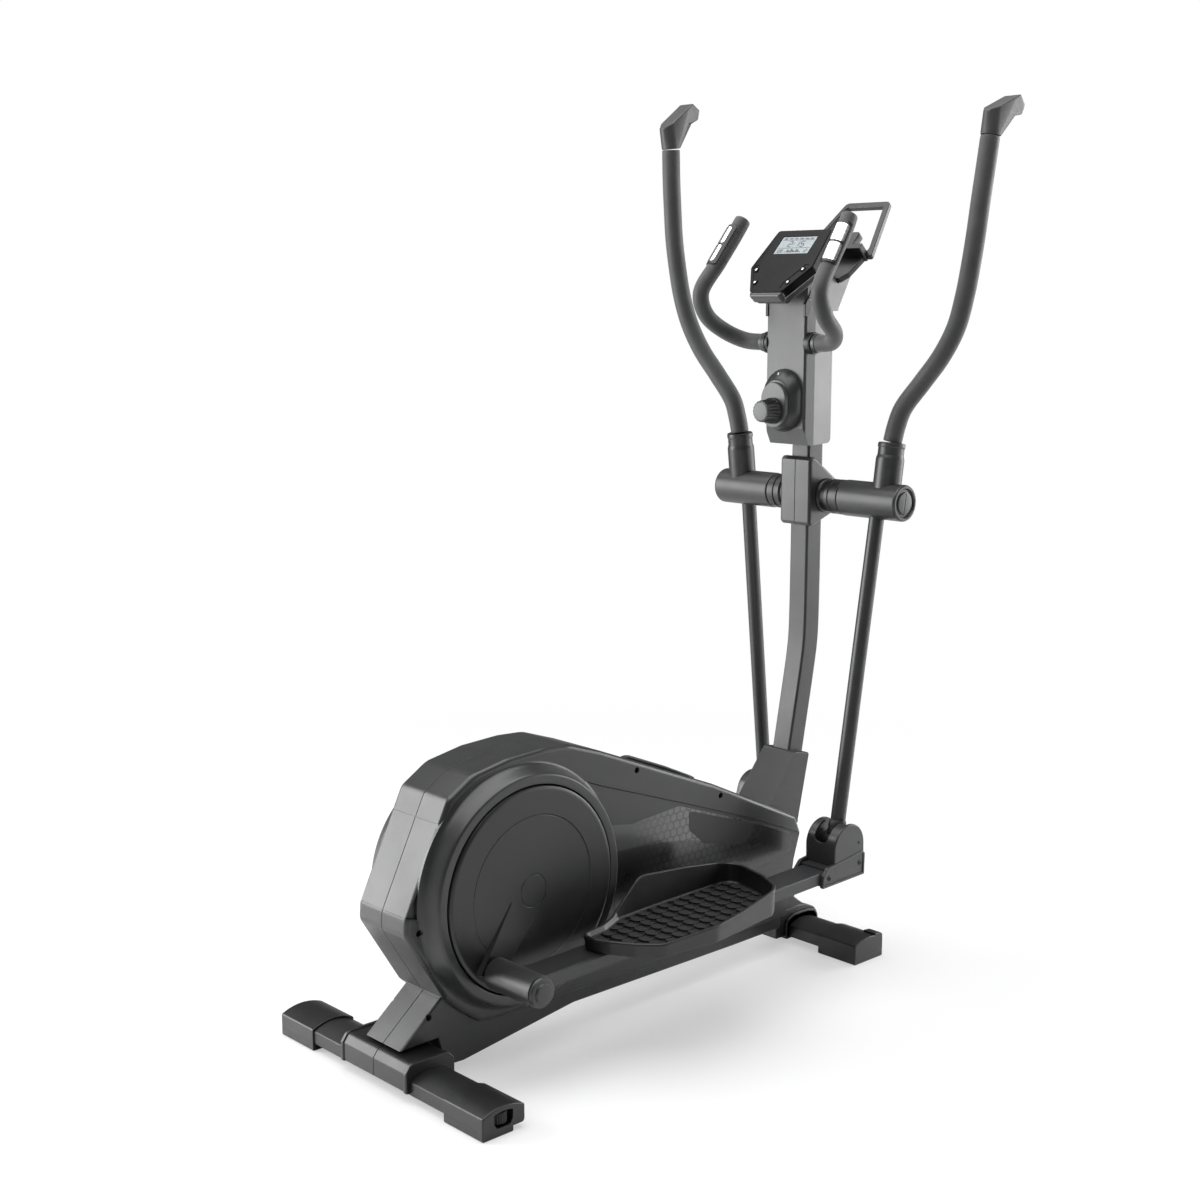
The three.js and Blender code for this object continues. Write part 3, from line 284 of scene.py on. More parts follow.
def decal_surface(name):
    """The printed panel on the housing: grey above, black below, honeycomb fading away."""
    n = Nodes(name)
    parts = n.add("ShaderNodeSeparateXYZ")
    n.link(n.coordinates(), parts.inputs[0])
    x, z = parts.outputs[0], parts.outputs[2]
    to_x = CRANK.x
    wave = n.math("MULTIPLY", n.math("SINE", n.math("MULTIPLY", n.math("SUBTRACT", x, to_x + 0.25), 11.0)),
                  0.012)
    edge_height = n.math("SUBTRACT", 0.300, n.math("MULTIPLY", n.math("SUBTRACT", x, to_x + 0.30), 0.18))
    upper = n.spread(n.math("SUBTRACT", z, n.math("ADD", edge_height, wave)), 0, 1, -0.002, 0.002)
    towards_nose = n.spread(x, 1, 0, to_x + 0.42, to_x + 0.56)
    bright = n.math("MULTIPLY", upper, towards_nose)
    ground = n.mix(bright, (0.005, 0.005, 0.0055), (0.042, 0.0425, 0.044))
    distance = hex_distance(n, x, z)
    cell = n.spread(distance, 1, 0, 0.34, 0.44)
    fade_in = n.spread(x, 0, 1, to_x + 0.26, to_x + 0.40)
    fade_out = n.spread(x, 1, 0, to_x + 0.44, to_x + 0.68)
    shown = n.math("MULTIPLY", n.math("MULTIPLY", cell, fade_in), fade_out)
    pale = n.mix(bright, (0.030, 0.031, 0.032), (0.135, 0.136, 0.14))
    n.link(n.mix(shown, ground, pale), n.shader.inputs["Base Color"])
    n.shader.inputs["Coat Weight"].default_value = 0.3
    n.shader.inputs["Coat Roughness"].default_value = 0.12
    n.link(n.spread(n.noise(9, 4), 0.24, 0.34), n.shader.inputs["Roughness"])
    n.bump(n.noise(700, 2), 0.05)
    return n.material


def display_surface(name):
    """The display window: grey-blue, faintly uneven, under gloss."""
    n = Nodes(name)
    n.link(n.mix(n.spread(n.noise(40, 3), 0, 1), (0.070, 0.100, 0.115), (0.090, 0.125, 0.140)),
           n.shader.inputs["Base Color"])
    n.shader.inputs["Coat Weight"].default_value = 1.0
    n.shader.inputs["Coat Roughness"].default_value = 0.04
    n.link(n.spread(n.noise(22, 3), 0.22, 0.30), n.shader.inputs["Roughness"])
    return n.material


LOOKS = {
    "coat": surface("powder_coat", (0.024, 0.0244, 0.0256), 0.38, grain=1500, grain_strength=0.12,
                    wear=0.15),
    "housing": surface("moulded_charcoal", (0.024, 0.0245, 0.0255), 0.33, grain=2200, grain_strength=0.10,
                       wear=0.2),
    "disc": surface("disc_charcoal", (0.008, 0.0083, 0.0087), 0.34, grain=2200, grain_strength=0.12,
                    wear=0.2),
    "black": surface("moulded_black", (0.0075, 0.0076, 0.008), 0.38, grain=1800, grain_strength=0.14,
                     wear=0.25),
    "grey": surface("moulded_grey", (0.046, 0.047, 0.049), 0.36, grain=2000, grain_strength=0.10,
                    wear=0.15),
    "gloss": surface("gloss_black", (0.003, 0.003, 0.0035), 0.25, grain=60, grain_strength=0.02,
                     specular=0.08),
    "satin": surface("satin_charcoal", (0.024, 0.0245, 0.026), 0.30, grain=1800, grain_strength=0.08,
                     wear=0.2),
    "rubber": surface("soft_rubber", (0.009, 0.009, 0.009), 0.58, grain=1300, grain_strength=0.25),
    "pale": surface("pale_print", (0.80, 0.80, 0.79), 0.45, grain=900, grain_strength=0.03, variation=0.03),
    "ink": surface("display_ink", (0.01, 0.012, 0.015), 0.5, grain=900, grain_strength=0.03),
    "foam": foam_surface("grip_foam", (0.026, 0.0265, 0.028)),
    "steel": brushed_surface("bright_steel", (0.55, 0.55, 0.56), 0.30),
    "plate": brushed_surface("sensor_plate", (0.88, 0.88, 0.87), 0.24, stretch=(200, 200, 6)),
    "iron": brushed_surface("turned_iron", (0.20, 0.20, 0.21), 0.42, stretch=(300, 4, 300)),
    "decal": decal_surface("honeycomb_decal"),
    "lcd": display_surface("display_window"),
    "bar": surface("powder_coat_bar", (0.010, 0.0102, 0.0106), 0.42, grain=1500, grain_strength=0.2),
    "tip": surface("grip_tip_plastic", (0.034, 0.0345, 0.036), 0.5, grain=1500, grain_strength=0.16),
    "trim": surface("pale_trim", (0.30, 0.305, 0.31), 0.30, grain=1200, grain_strength=0.04),
}

# ---------------------------------------------------------------- shape helpers


def new_object(name, mesh):
    obj = bpy.data.objects.new(name, mesh)
    bpy.context.scene.collection.objects.link(obj)
    return obj


def blank(bm, name="blank"):
    """Turns a bmesh into an object with clean normals."""
    bmesh.ops.remove_doubles(bm, verts=bm.verts, dist=1e-4)
    bmesh.ops.recalc_face_normals(bm, faces=bm.faces)
    mesh = bpy.data.meshes.new(name)
    bm.to_mesh(mesh)
    bm.free()
    return new_object(name, mesh)


def rounded(points, steps=6):
    """A closed outline whose corners [a, b, radius] are filleted; a corner without a radius stays sharp."""
    out = []
    count = len(points)
    for i, point in enumerate(points):
        here = Vector(point[:2])
        radius = point[2] if len(point) > 2 else 0
        if radius <= 0:
            out.append(tuple(here))
            continue
        before = (Vector(points[i - 1][:2]) - here)
        after = (Vector(points[(i + 1) % count][:2]) - here)
        angle = before.angle(after)
        reach = min(radius / math.tan(angle / 2), before.length * 0.49, after.length * 0.49)
        start = here + before.normalized() * reach
        end = here + after.normalized() * reach
        for k in range(steps + 1):
            t = k / steps
            out.append(tuple(start * (1 - t) ** 2 + here * 2 * t * (1 - t) + end * t ** 2))
    return out


def inset(points, distance):
    """A closed outline moved inwards by a distance (outwards when negative)."""
    area = sum(points[i - 1][0] * p[1] - p[0] * points[i - 1][1] for i, p in enumerate(points))
    sign = 1 if area > 0 else -1
    out = []
    for i, point in enumerate(points):
        before = (Vector(point) - Vector(points[i - 1])).normalized()
        after = (Vector(points[(i + 1) % len(points)]) - Vector(point)).normalized()
        if before.length < 0.5 or after.length < 0.5:
            before = after = before + after
        total = Vector((-(before.y + after.y), before.x + after.x)) * sign
        out.append(tuple(Vector(point) + total * distance / max(0.4, 1 + before.dot(after))))
    return out


def rectangle(a, b, radius=0):
    """The outline between two pairs of limits, its corners filleted."""
    return rounded([(a[0], b[0], radius), (a[1], b[0], radius), (a[1], b[1], radius), (a[0], b[1], radius)])


PLANES = {
    "XZ": lambda a, b, c: (a, c, b),
    "XY": lambda a, b, c: (a, b, c),
    "YZ": lambda a, b, c: (c, a, b),
}


def loft(loops):
    """Skins a run of rings with equal numbers of points, and caps both ends."""
    bm = bmesh.new()
    rings = [[bm.verts.new(point) for point in loop] for loop in loops]
    count = len(rings[0])
    for low, high in zip(rings, rings[1:]):
        for i in range(count):
            j = (i + 1) % count
            bm.faces.new((low[i], low[j], high[j], high[i]))
    bm.faces.new(rings[0])
    bm.faces.new(list(reversed(rings[-1])))
    return blank(bm)


def prism(outline, plane, low, high):
    """An outline in a plane, drawn through between two heights along the third axis."""
    lift = PLANES[plane]
    return loft([[lift(a, b, low) for a, b in outline], [lift(a, b, high) for a, b in outline]])


def stepped(outline, plane, stages):
    """Rings of one outline at (height, inset) stages: a plate with shaped edges."""
    lift = PLANES[plane]
    return loft([[lift(a, b, height) for a, b in inset(outline, amount)] for height, amount in stages])


def turned(profile, axis, centre=(0, 0, 0), segments=64, side=1):
    """A turned solid: profile lists (radius, height along the axis), starting and ending on the axis
    or closing on itself."""
    bm = bmesh.new()
    loops = []
    for radius, height in profile:
        if radius < 1e-6:
            loops.append([bm.verts.new(turn_point(axis, 0, 0, height * side, centre))])
            continue
        loops.append([
            bm.verts.new(turn_point(axis, radius, FULL_TURN * i / segments, height * side, centre))
            for i in range(segments)
        ])
    on_axis = len(loops[0]) == 1 and len(loops[-1]) == 1
    pairs = list(zip(loops, loops[1:]))
    if not on_axis:
        pairs.append((loops[-1], loops[0]))
    for low, high in pairs:
        for i in range(segments):
            j = (i + 1) % segments
            ring = [low[i % len(low)], low[j % len(low)], high[j % len(high)], high[i % len(high)]]
            corners = list(dict.fromkeys(ring))
            if len(corners) > 2:
                bm.faces.new(corners)
    return blank(bm)


def turn_point(axis, radius, angle, height, centre):
    a, b = radius * math.cos(angle), radius * math.sin(angle)
    spot = {"X": (height, a, b), "Y": (a, height, b), "Z": (a, b, height)}[axis]
    return tuple(s + c for s, c in zip(spot, centre))


def curve_points(points, per_span=8):
    """A smooth centripetal curve through the points."""
    points = [Vector(p) for p in points]
    padded = [points[0] * 2 - points[1], *points, points[-1] * 2 - points[-2]]
    out = []
    for i in range(1, len(padded) - 2):
        p0, p1, p2, p3 = padded[i - 1:i + 3]
        for k in range(per_span):
            out.append(centripetal(p0, p1, p2, p3, k / per_span))
    out.append(points[-1])
    return out


def centripetal(p0, p1, p2, p3, t):
    """A point between p1 and p2 on a Catmull-Rom curve, by Barry and Goldman's pyramid."""
    d1, d2, d3 = ((b - a).length ** 0.5 for a, b in ((p0, p1), (p1, p2), (p2, p3)))
    t0, t1 = 0.0, d1
    t2, t3 = t1 + d2, t1 + d2 + d3
    at = t1 + (t2 - t1) * t
    a1 = p0 * ((t1 - at) / (t1 - t0)) + p1 * ((at - t0) / (t1 - t0))
    a2 = p1 * ((t2 - at) / (t2 - t1)) + p2 * ((at - t1) / (t2 - t1))
    a3 = p2 * ((t3 - at) / (t3 - t2)) + p3 * ((at - t2) / (t3 - t2))
    b1 = a1 * ((t2 - at) / (t2 - t0)) + a2 * ((at - t0) / (t2 - t0))
    b2 = a2 * ((t3 - at) / (t3 - t1)) + a3 * ((at - t1) / (t3 - t1))
    return b1 * ((t2 - at) / (t2 - t1)) + b2 * ((at - t1) / (t2 - t1))


def swept(path, radius, segments=32, rounding=3.0, up=Vector((0, 1, 0))):
    """A round bar along a path, its ends eased by rounding."""
    path = [Vector(p) for p in path]
    lengths = [0.0]
    for a, b in zip(path, path[1:]):
        lengths.append(lengths[-1] + (b - a).length)
    total = lengths[-1]
    ends = [(0.0, -rounding)]
    for k in (1, 2, 3):
        angle = math.pi / 2 * k / 4
        ends.append((rounding * (1 - math.cos(angle)), -rounding * (1 - math.sin(angle))))
    clear = rounding * 1.2
    marks = ends + [(d, 0.0) for d in lengths if clear < d < total - clear]
    marks += [(total - along, less) for along, less in reversed(ends)]
    loops = []
    for along, less in marks:
        index = max(i for i, d in enumerate(lengths) if d <= along + 1e-9)
        index = min(index, len(path) - 2)
        share = (along - lengths[index]) / max(1e-9, lengths[index + 1] - lengths[index])
        spot = path[index].lerp(path[index + 1], share)
        before = path[max(0, index - 1)]
        after = path[min(len(path) - 1, index + 2)]
        forward = (path[index + 1] - path[index]) * (1 - abs(share - 0.5)) + (after - before) * 0.25
        forward.normalize()
        sideways = forward.cross(up).normalized()
        over = sideways.cross(forward).normalized()
        size = max(0.2, radius + less)
        loops.append([
            tuple(spot + sideways * size * math.cos(FULL_TURN * i / segments)
                  + over * size * math.sin(FULL_TURN * i / segments))
            for i in range(segments)
        ])
    return loft(loops)


def evaluated(obj):
    """Applies the object's modifiers to its own mesh."""
    graph = bpy.context.evaluated_depsgraph_get()
    mesh = bpy.data.meshes.new_from_object(obj.evaluated_get(graph))
    old = obj.data
    obj.modifiers.clear()
    obj.data = mesh
    bpy.data.meshes.remove(old)
    return obj


def carve(obj, *cutters, mode="DIFFERENCE"):
    """Cuts (or joins) solids into obj."""
    for cutter in cutters:
        modifier = obj.modifiers.new("carve", "BOOLEAN")
        modifier.operation = mode
        modifier.solver = "MANIFOLD"
        modifier.object = cutter
        bpy.context.view_layer.update()
        evaluated(obj)
        bpy.data.objects.remove(cutter)
    return obj


def fuse(obj, *others):
    return carve(obj, *others, mode="UNION")


def keep_common(obj, other):
    return carve(obj, other, mode="INTERSECT")


def eased(obj, width, segments=2, angle=30):
    """Rounds the sharp edges."""
    modifier = obj.modifiers.new("ease", "BEVEL")
    modifier.width = width
    modifier.segments = segments
    modifier.limit_method = "ANGLE"
    modifier.angle_limit = math.radians(angle)
    modifier.miter_outer = "MITER_ARC"
    bpy.context.view_layer.update()
    return evaluated(obj)


def box(x, y, z):
    """A plain block between pairs of x, y and z, for cutting and joining."""
    (x0, x1), (y0, y1), (z0, z1) = (sorted(pair) for pair in (x, y, z))
    return prism(rectangle((x0, x1), (y0, y1)), "XY", z0, z1)


def settle(obj, name, place, body, look, slot, *nodes, crease=38, padded=None):
    """Names a finished shape, moves it into the part's frame and binds it to its CAD body."""
    mesh = obj.data
    mesh.transform(place)
    if place.determinant() < 0:
        mesh.flip_normals()
    mesh.materials.clear()
    mesh.materials.append(LOOKS[look])
    mesh.shade_smooth()
    mesh.set_sharp_from_angle(angle=math.radians(crease))
    normals = obj.modifiers.new("even_normals", "WEIGHTED_NORMAL")
    normals.keep_sharp = True
    normals.weight = 80
    obj.name = name
    mesh.name = name
    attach(obj, body)
    if nodes:
        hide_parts(*nodes)
    return obj


def joined(*objects):
    """Puts several solids into one mesh without merging them."""
    bm = bmesh.new()
    for obj in objects:
        bm.from_mesh(obj.data)
        bpy.data.objects.remove(obj)
    mesh = bpy.data.meshes.new("joined")
    bm.to_mesh(mesh)
    bm.free()
    return new_object("joined", mesh)


def screw_head(x, y, z, radius, side, depth=3.0, axis="Y"):
    """A domed socket screw head facing out along the axis."""
    dome = turned([(0, depth), (radius * 0.55, depth), (radius * 0.9, depth * 0.62), (radius, 0), (0, 0)],
                  axis, (x, y, z), 24, side)
    hexagon = [(radius * 0.45 * math.cos(FULL_TURN * i / 6), radius * 0.45 * math.sin(FULL_TURN * i / 6))
               for i in range(6)]
    lift = {"X": "YZ", "Y": "XZ", "Z": "XY"}[axis]
    socket = prism(hexagon, lift, side * depth * 0.35, side * depth * 2)
    socket.data.transform(Matrix.Translation((x, y, z)))
    return carve(dome, socket)


def span(side, near, far):
    """A pair of distances from the middle, on one side of the machine."""
    return side * near, side * far


def soft_slab(outline, plane, low, high, ease, ease_low=None, steps=3):
    """A plate through low..high whose far rim is rounded by ease and whose near rim by ease_low."""
    way = 1 if high > low else -1
    ease_low = ease if ease_low is None else ease_low
    stages = []
    for k in range(steps + 1):
        angle = math.pi / 2 * k / steps
        stages.append((low + way * ease_low * (1 - math.cos(angle)), ease_low * (1 - math.sin(angle))))
    for k in range(steps + 1):
        angle = math.pi / 2 * k / steps
        stages.append((high - way * ease * (1 - math.sin(angle)), ease * (1 - math.cos(angle))))
    return stepped(outline, plane, stages)


def ribbon(line, width):
    """The outline of a thin band along a line."""
    ahead, back = [], []
    for i, point in enumerate(line):
        before = Vector(line[max(0, i - 1)])
        after = Vector(line[min(len(line) - 1, i + 1)])
        along = (after - before).normalized()
        across = Vector((-along.y, along.x)) * width / 2
        ahead.append(tuple(Vector(point) + across))
        back.append(tuple(Vector(point) - across))
    return ahead + back[::-1]


def resampled(outline, step):
    """The same closed outline with evenly close points."""
    out = []
    for i, point in enumerate(outline):
        start, end = Vector(point), Vector(outline[(i + 1) % len(outline)])
        count = max(1, round((end - start).length / step))
        out += [tuple(start.lerp(end, k / count)) for k in range(count)]
    return out


def along_table(table, x):
    """Reads a table of (x, value) rows, straight between rows."""
    if x <= table[0][0]:
        return table[0][1]
    for (x0, v0), (x1, v1) in zip(table, table[1:]):
        if x <= x1:
            return v0 + (v1 - v0) * (x - x0) / (x1 - x0)
    return table[-1][1]


def refined(node, ease):
    """A CAD mesh taken over as it is, in metres, with its sharp edges rounded."""
    mesh = frame["nodes"][node].data.copy()
    obj = new_object(node, mesh)
    bm = bmesh.new()
    bm.from_mesh(mesh)
    bmesh.ops.remove_doubles(bm, verts=bm.verts, dist=2e-5)
    bmesh.ops.dissolve_limit(bm, angle_limit=math.radians(1), verts=bm.verts, edges=bm.edges)
    bm.to_mesh(mesh)
    bm.free()
    return eased(obj, ease * MM, angle=30)


METRES = Matrix.Identity(4)

# ---------------------------------------------------------------- housing
HALF_WIDTH = 67.0               # centre to the housing's flat side
CROWN_EASE = 9.0                # rounding between the band and the side
STRUT_HALF = 49.0
FLANK = 64.6                    # side face below the crease
SHELL_WALL = 6
CAVITY_HALF = 53.0              # centre to the shell's inner side face
MOUTH_RADIUS = 194              # opening round the crank disc
GROOVE_WIDTH, GROOVE_DEPTH = 1.5, 1.4
SEAM = 0.3                      # each half stops this far from the middle plane
WELL_DEPTH = 9
DRUM = [(-162, 143, 8), (-240, 268, 22), (-238, 296, 22), (-148, 480, 26), (-96, 512, 50), (-20, 526, 60),
        (60, 530, 60), (115, 527, 60), (190, 502, 70), (480, 386, 60), (717, 276, 14), (733, 240, 12),
        (716, 188, 10), (700, 96, 6), (696, 74, 6), (120, 74, 20), (-55, 77, 25), (-89, 81, 12),
        (-124, 108, 14)]
STRUT = [(-242, 69), (-158, 138), (-130, 200), (0, 250), (600, 200), (690, 150), (696, 45, 6), (560, 44, 6),
         (140, 46, 60), (-110, 14, 8), (-150, 16, 8), (-165, 69)]
COLLAR_INSIDE = [(185, 101), (182, 100.2), (180.9, 98), (180.9, 84), (193, 55)]
COLLAR_OUTSIDE = {
    RIGHT: [(205, 55), (216, 60), (217, 66.4), (212.4, 68), (209.4, 70.6), (206.6, 76), (203.4, 86),
            (200.6, 95),
            (199, 99), (197, 100.6), (195, 101)],
    LEFT: [(200, 55), (208, 60), (208, 66.4), (204, 68.4), (199.4, 76), (194.8, 86), (190.4, 95),
           (188.6, 99),
           (187.4, 100.6)],
}
CREASE = [(150, 456), (187, 441), (395, 368), (583, 301), (727, 241)]
GROOVES = [[(-178, 446), (-137, 432), (-106, 423)], [(-248, 304), (-216, 291), (-160, 277)]]
FACET = [(-156, 440), (-112, 425), (-166, 279), (-236, 299)]
SCREWS = [(-135, 447, HALF_WIDTH), (14, 501, HALF_WIDTH), (277, 451, HALF_WIDTH), (497, 361, HALF_WIDTH),
          (-214, 270, HALF_WIDTH), (-183, 111, STRUT_HALF)]
PANEL = [(214, 362), (264, 353, 10), (300, 356, 10), (388, 362, 8), (574, 296), (706, 243, 6),
         (700, 206, 8), (590, 194, 20),
         (420, 190), (260, 190), (226, 196, 10)]
TAG = [(414, 348, 8), (414, 312, 20), (455, 276, 24), (547, 254, 16), (585, 262, 10), (591, 288, 10)]


def skin_groove(shape, line, side):
    """A slot along a line in side view that cuts the shell only skin deep."""
    slot = prism(ribbon(line, GROOVE_WIDTH), "XZ", side * 0.1, side * (HALF_WIDTH + 6))
    core = soft_slab(inset(shape, GROOVE_DEPTH), "XZ", -side * 2, side * (HALF_WIDTH - GROOVE_DEPTH),
                     CROWN_EASE - GROOVE_DEPTH, 0)
    return carve(slot, core)


def facet_cutter(side):
    """Lowers the rear of the side face between the two grooves into a slanting facet."""
    depth = [57.5, HALF_WIDTH + 0.2, HALF_WIDTH + 0.2, 57.5]
    low = [(x, side * y, z) for (x, z), y in zip(FACET, depth)]
    high = [(x, side * (HALF_WIDTH + 9), z) for x, z in FACET]
    return loft([low, high])


def crease_cutter(side):
    """Sets the flank back below the crease, with a soft step down from it."""
    edge = CREASE + [(738, 150), (712, 58), (150, 58)]
    return soft_slab(edge, "XZ", side * (HALF_WIDTH + 9), side * FLANK, 2.2, 0.5, 4)


def screw_well(x, z, y, side):
    profile = [(0, -WELL_DEPTH), (4.8, -WELL_DEPTH), (5.2, -0.8), (6, 0.2), (6, 4), (0, 4)]
    return turned(profile, "Y", (x, side * y, z), 24, side)


def housing(side, word):
    """One half of the housing with its collar, screws and printed panel."""
    shape = rounded(DRUM)
    shell = soft_slab(shape, "XZ", side * SEAM, side * HALF_WIDTH, CROWN_EASE, 0.7, 4)
    carve(shell, facet_cutter(side), crease_cutter(side))
    carve(shell, *[skin_groove(shape, line, side) for line in GROOVES])
    strut = soft_slab(rounded(STRUT), "XZ", side * SEAM, side * STRUT_HALF, 4, 0.7)
    fuse(shell, strut)
    cavity = prism(inset(shape, SHELL_WALL), "XZ", -side, side * CAVITY_HALF)
    bore = [(0, 45), (MOUTH_RADIUS, 45), (MOUTH_RADIUS, 120), (0, 120)]
    mouth = turned(bore, "Y", (0, 0, CRANK_HEIGHT), 96, side)
    carve(shell, cavity, mouth)
    ring = turned(COLLAR_OUTSIDE[side] + COLLAR_INSIDE, "Y", (0, 0, CRANK_HEIGHT), 144, side)
    fuse(shell, ring)
    carve(shell, *[screw_well(x, z, y, side) for x, z, y in SCREWS])
    settle(shell, f"housing_shell_{word}", MACHINE, "frame", "housing", "charcoal_plastic",
           f"housing_{word}",
           crease=30)
    heads = [screw_head(x, side * (y - WELL_DEPTH), z, 4.4, side, 2.4) for x, z, y in SCREWS]
    settle(joined(*heads), f"housing_screws_{word}", MACHINE, "frame", "black", "steel")
    panel = soft_slab(rounded(PANEL), "XZ", side * (FLANK - 1), side * (FLANK + 0.45), 0.4, 0, 2)
    settle(panel, f"housing_panel_{word}", MACHINE, "frame", "decal", "charcoal_plastic")
    tag = soft_slab(rounded(TAG), "XZ", side * FLANK, side * (FLANK + 0.9), 0.4, 0, 2)
    settle(tag, f"housing_tag_{word}", MACHINE, "frame", "black", "black_plastic")


# ---------------------------------------------------------------- crank discs
DISC = [(0, 103.2), (26.8, 103.2), (27.6, 102.4), (28.8, 102.4), (29.6, 103.2), (128.4, 103.2),
        (129.2, 102.6),
        (130.4, 102.6), (131.6, DISC_FACE), (171, DISC_FACE), (175, 103.6), (178.2, 102), (179.4, 99.4),
        (DISC_RADIUS, 97), (DISC_RADIUS, 86), (173.5, 86), (173.5, 99), (0, 99)]


def crank_disc(side, word):
    """The round cover that turns with the crank, with a raised rib out to the pin."""
    disc = turned(DISC, "Y", (0, 0, CRANK_HEIGHT), 144, side)
    pin = Vector(PINS[side])
    out = Vector((pin.x, pin.y - CRANK_HEIGHT)).normalized()
    over = Vector((-out.y, out.x))

    def spot(along, across, height):
        flat = out * along + over * across
        return flat.x, side * height, CRANK_HEIGHT + flat.y

    base = [spot(36, 33, 100), spot(36, -33, 100), spot(171, -27, 100), spot(171, 27, 100)]
    foot = [spot(36, 33, 103), spot(36, -33, 103), spot(171, -27, 104), spot(171, 27, 104)]
    top = [spot(40, 30, 103.3), spot(40, -30, 103.3), spot(166, -22, 112.6), spot(166, 22, 112.6)]
    fuse(disc, loft([base, foot, top]))
    carve(disc, turned([(0, 80), (13, 80), (13, 120), (0, 120)], "Y", (pin.x, 0, pin.y), 32, side))
    settle(disc, f"crank_cover_{word}", MACHINE, "crank", "disc", "charcoal_plastic", f"crank_disc_{word}",
           crease=28)


# ---------------------------------------------------------------- pedal arms
ARM_INNER, ARM_OUTER = 140.0, 200.0
ARM_BOTTOM, ARM_TOP = -17.5, 7.5
ARM_ENDS = (-12, 850)
LOWER_REACH = 168.0             # centre to the swing arm's lower tube
SLEEVE = [(0, 240), (12, 239.8), (15.4, 239.2), (16.8, 237.6), (17.4, 236), (20, 236), (23.6, 235.2),
          (25.4, 233),
          (25.8, 230.6), (24.8, 230), (24.8, 228.6), (27, 228), (27, 119.5), (25, 117.5), (0, 117.5)]


def pedal_arm(side, word):
    """A flat tube with the crank pin's sleeve across its rear end."""
    y0, y1 = span(side, ARM_INNER, ARM_OUTER)
    section = [(y0, ARM_BOTTOM, 5), (y1, ARM_BOTTOM, 5), (y1, ARM_TOP, 5), (y0, ARM_TOP, 5)]
    tube = soft_slab(rounded(section, 5), "YZ", *ARM_ENDS, 1.5)
    sleeve = turned(SLEEVE, "Y", (0, 0, 0), 64, side)
    fuse(tube, sleeve)
    settle(tube, f"arm_tube_{word}", ARM_FRAMES[side], f"pedal_arm_{word}", "coat", "powder_coat",
           f"pedal_arm_{word}")


PEDAL_PLAN = [(262, 124, 16), (337, 122, 30), (520, 123, 30), (548, 134, 24), (554, 160, 30),
              (540, 225, 40),
              (519, 272, 30), (498, 288, 30), (336, 304, 60), (222, 287, 30), (190, 252, 30),
              (168, 214, 30),
              (156, 185, 24), (156, 160, 12), (170, 150, 16), (212, 146, 24)]
PEDAL_UNDER = ARM_TOP + 0.4
PEDAL_TREAD = 24.0
INNER_RIM = [(200, 34), (252, 34), (262, 38), (318, 84), (332, 88), (440, 76), (545, 60)]
OUTER_RIM = [(156, 34), (225, 34), (400, 44), (510, 58), (545, 60)]
SCALE_PITCH = (27.0, 25.5)


def rim_height(x, y):
    """Height of the tray's rim, which is taller towards the housing."""
    table = INNER_RIM if abs(y) < 141 else OUTER_RIM
    return along_table(table, x)


def scale_solid(x, y, z):
    """One tread scale: low in front, its rounded rear edge raised."""
    length, half = SCALE_PITCH[0] - 1.2, SCALE_PITCH[1] / 2 - 0.6
    arc = []
    for k in range(9):
        angle = math.pi * (0.5 + k / 8)
        arc.append((math.cos(angle) * 11, math.sin(angle) * half))
    front = [(length - 12, -half * 0.8), (length - 15, 0), (length - 12, half * 0.8)]
    shape = [(a + 12, b) for a, b in arc + front]
    base = [(x + a, y + b, z - 1.5) for a, b in shape]
    crest = [(x + a, y + b, z + 3.4 - 2.7 * a / length) for a, b in shape]
    top = [(x + a * 0.86 + 2, y + b * 0.86, z + 4.0 - 2.8 * a / length) for a, b in shape]
    return loft([base, crest, top])


def tread(side, floor):
    """Staggered rows of scales, trimmed to the tray's floor."""
    scales = []
    for row in range(14):
        x = 166 + SCALE_PITCH[0] * row
        for column in range(8):
            y = 130 + SCALE_PITCH[1] * (column + (0.5 if row % 2 else 0))
            scales.append(scale_solid(x, side * y, PEDAL_TREAD))
    return keep_common(joined(*scales), prism(inset(floor, 3), "XY", PEDAL_TREAD - 3, PEDAL_TREAD + 12))


def pedal(side, word):
    """The tray, skinned from rings of its plan, and its tread."""
    plan = [(x, side * y) for x, y in resampled(rounded(PEDAL_PLAN, 5), 9)]

    def ring(amount, height):
        return [(x, y, height(px, py)) for (x, y), (px, py) in zip(inset(plan, amount), plan)]

    def rim(drop):
        return lambda x, y: rim_height(x, y) - drop

    def level(value):
        return lambda x, y: value

    loops = [
        ring(40, level(PEDAL_UNDER)),
        ring(7, level(PEDAL_UNDER)),
        ring(3.4, level(PEDAL_UNDER + 1.2)),
        ring(2.2, level(PEDAL_UNDER + 5)),
        ring(1.4, rim(9)),
        ring(0, rim(6.4)),
        ring(-0.2, rim(2.6)),
        ring(1, rim(0.7)),
        ring(3, rim(0)),
        ring(5.4, rim(0.5)),
        ring(6.6, rim(2.2)),
        ring(8, level(PEDAL_TREAD + 5)),
        ring(10, level(PEDAL_TREAD + 1.2)),
        ring(14, level(PEDAL_TREAD)),
        ring(40, level(PEDAL_TREAD)),
    ]
    tray = loft(loops)
    settle(tray, f"pedal_tray_{word}", ARM_FRAMES[side], f"pedal_arm_{word}", "black", "black_plastic",
           f"pedal_{word}", crease=50)
    scales = tread(side, inset(plan, 11))
    settle(scales, f"pedal_tread_{word}", ARM_FRAMES[side], f"pedal_arm_{word}", "rubber", "black_plastic")


# ---------------------------------------------------------------- knuckle covers
HOOD_RADII = (43.6, 39.6)


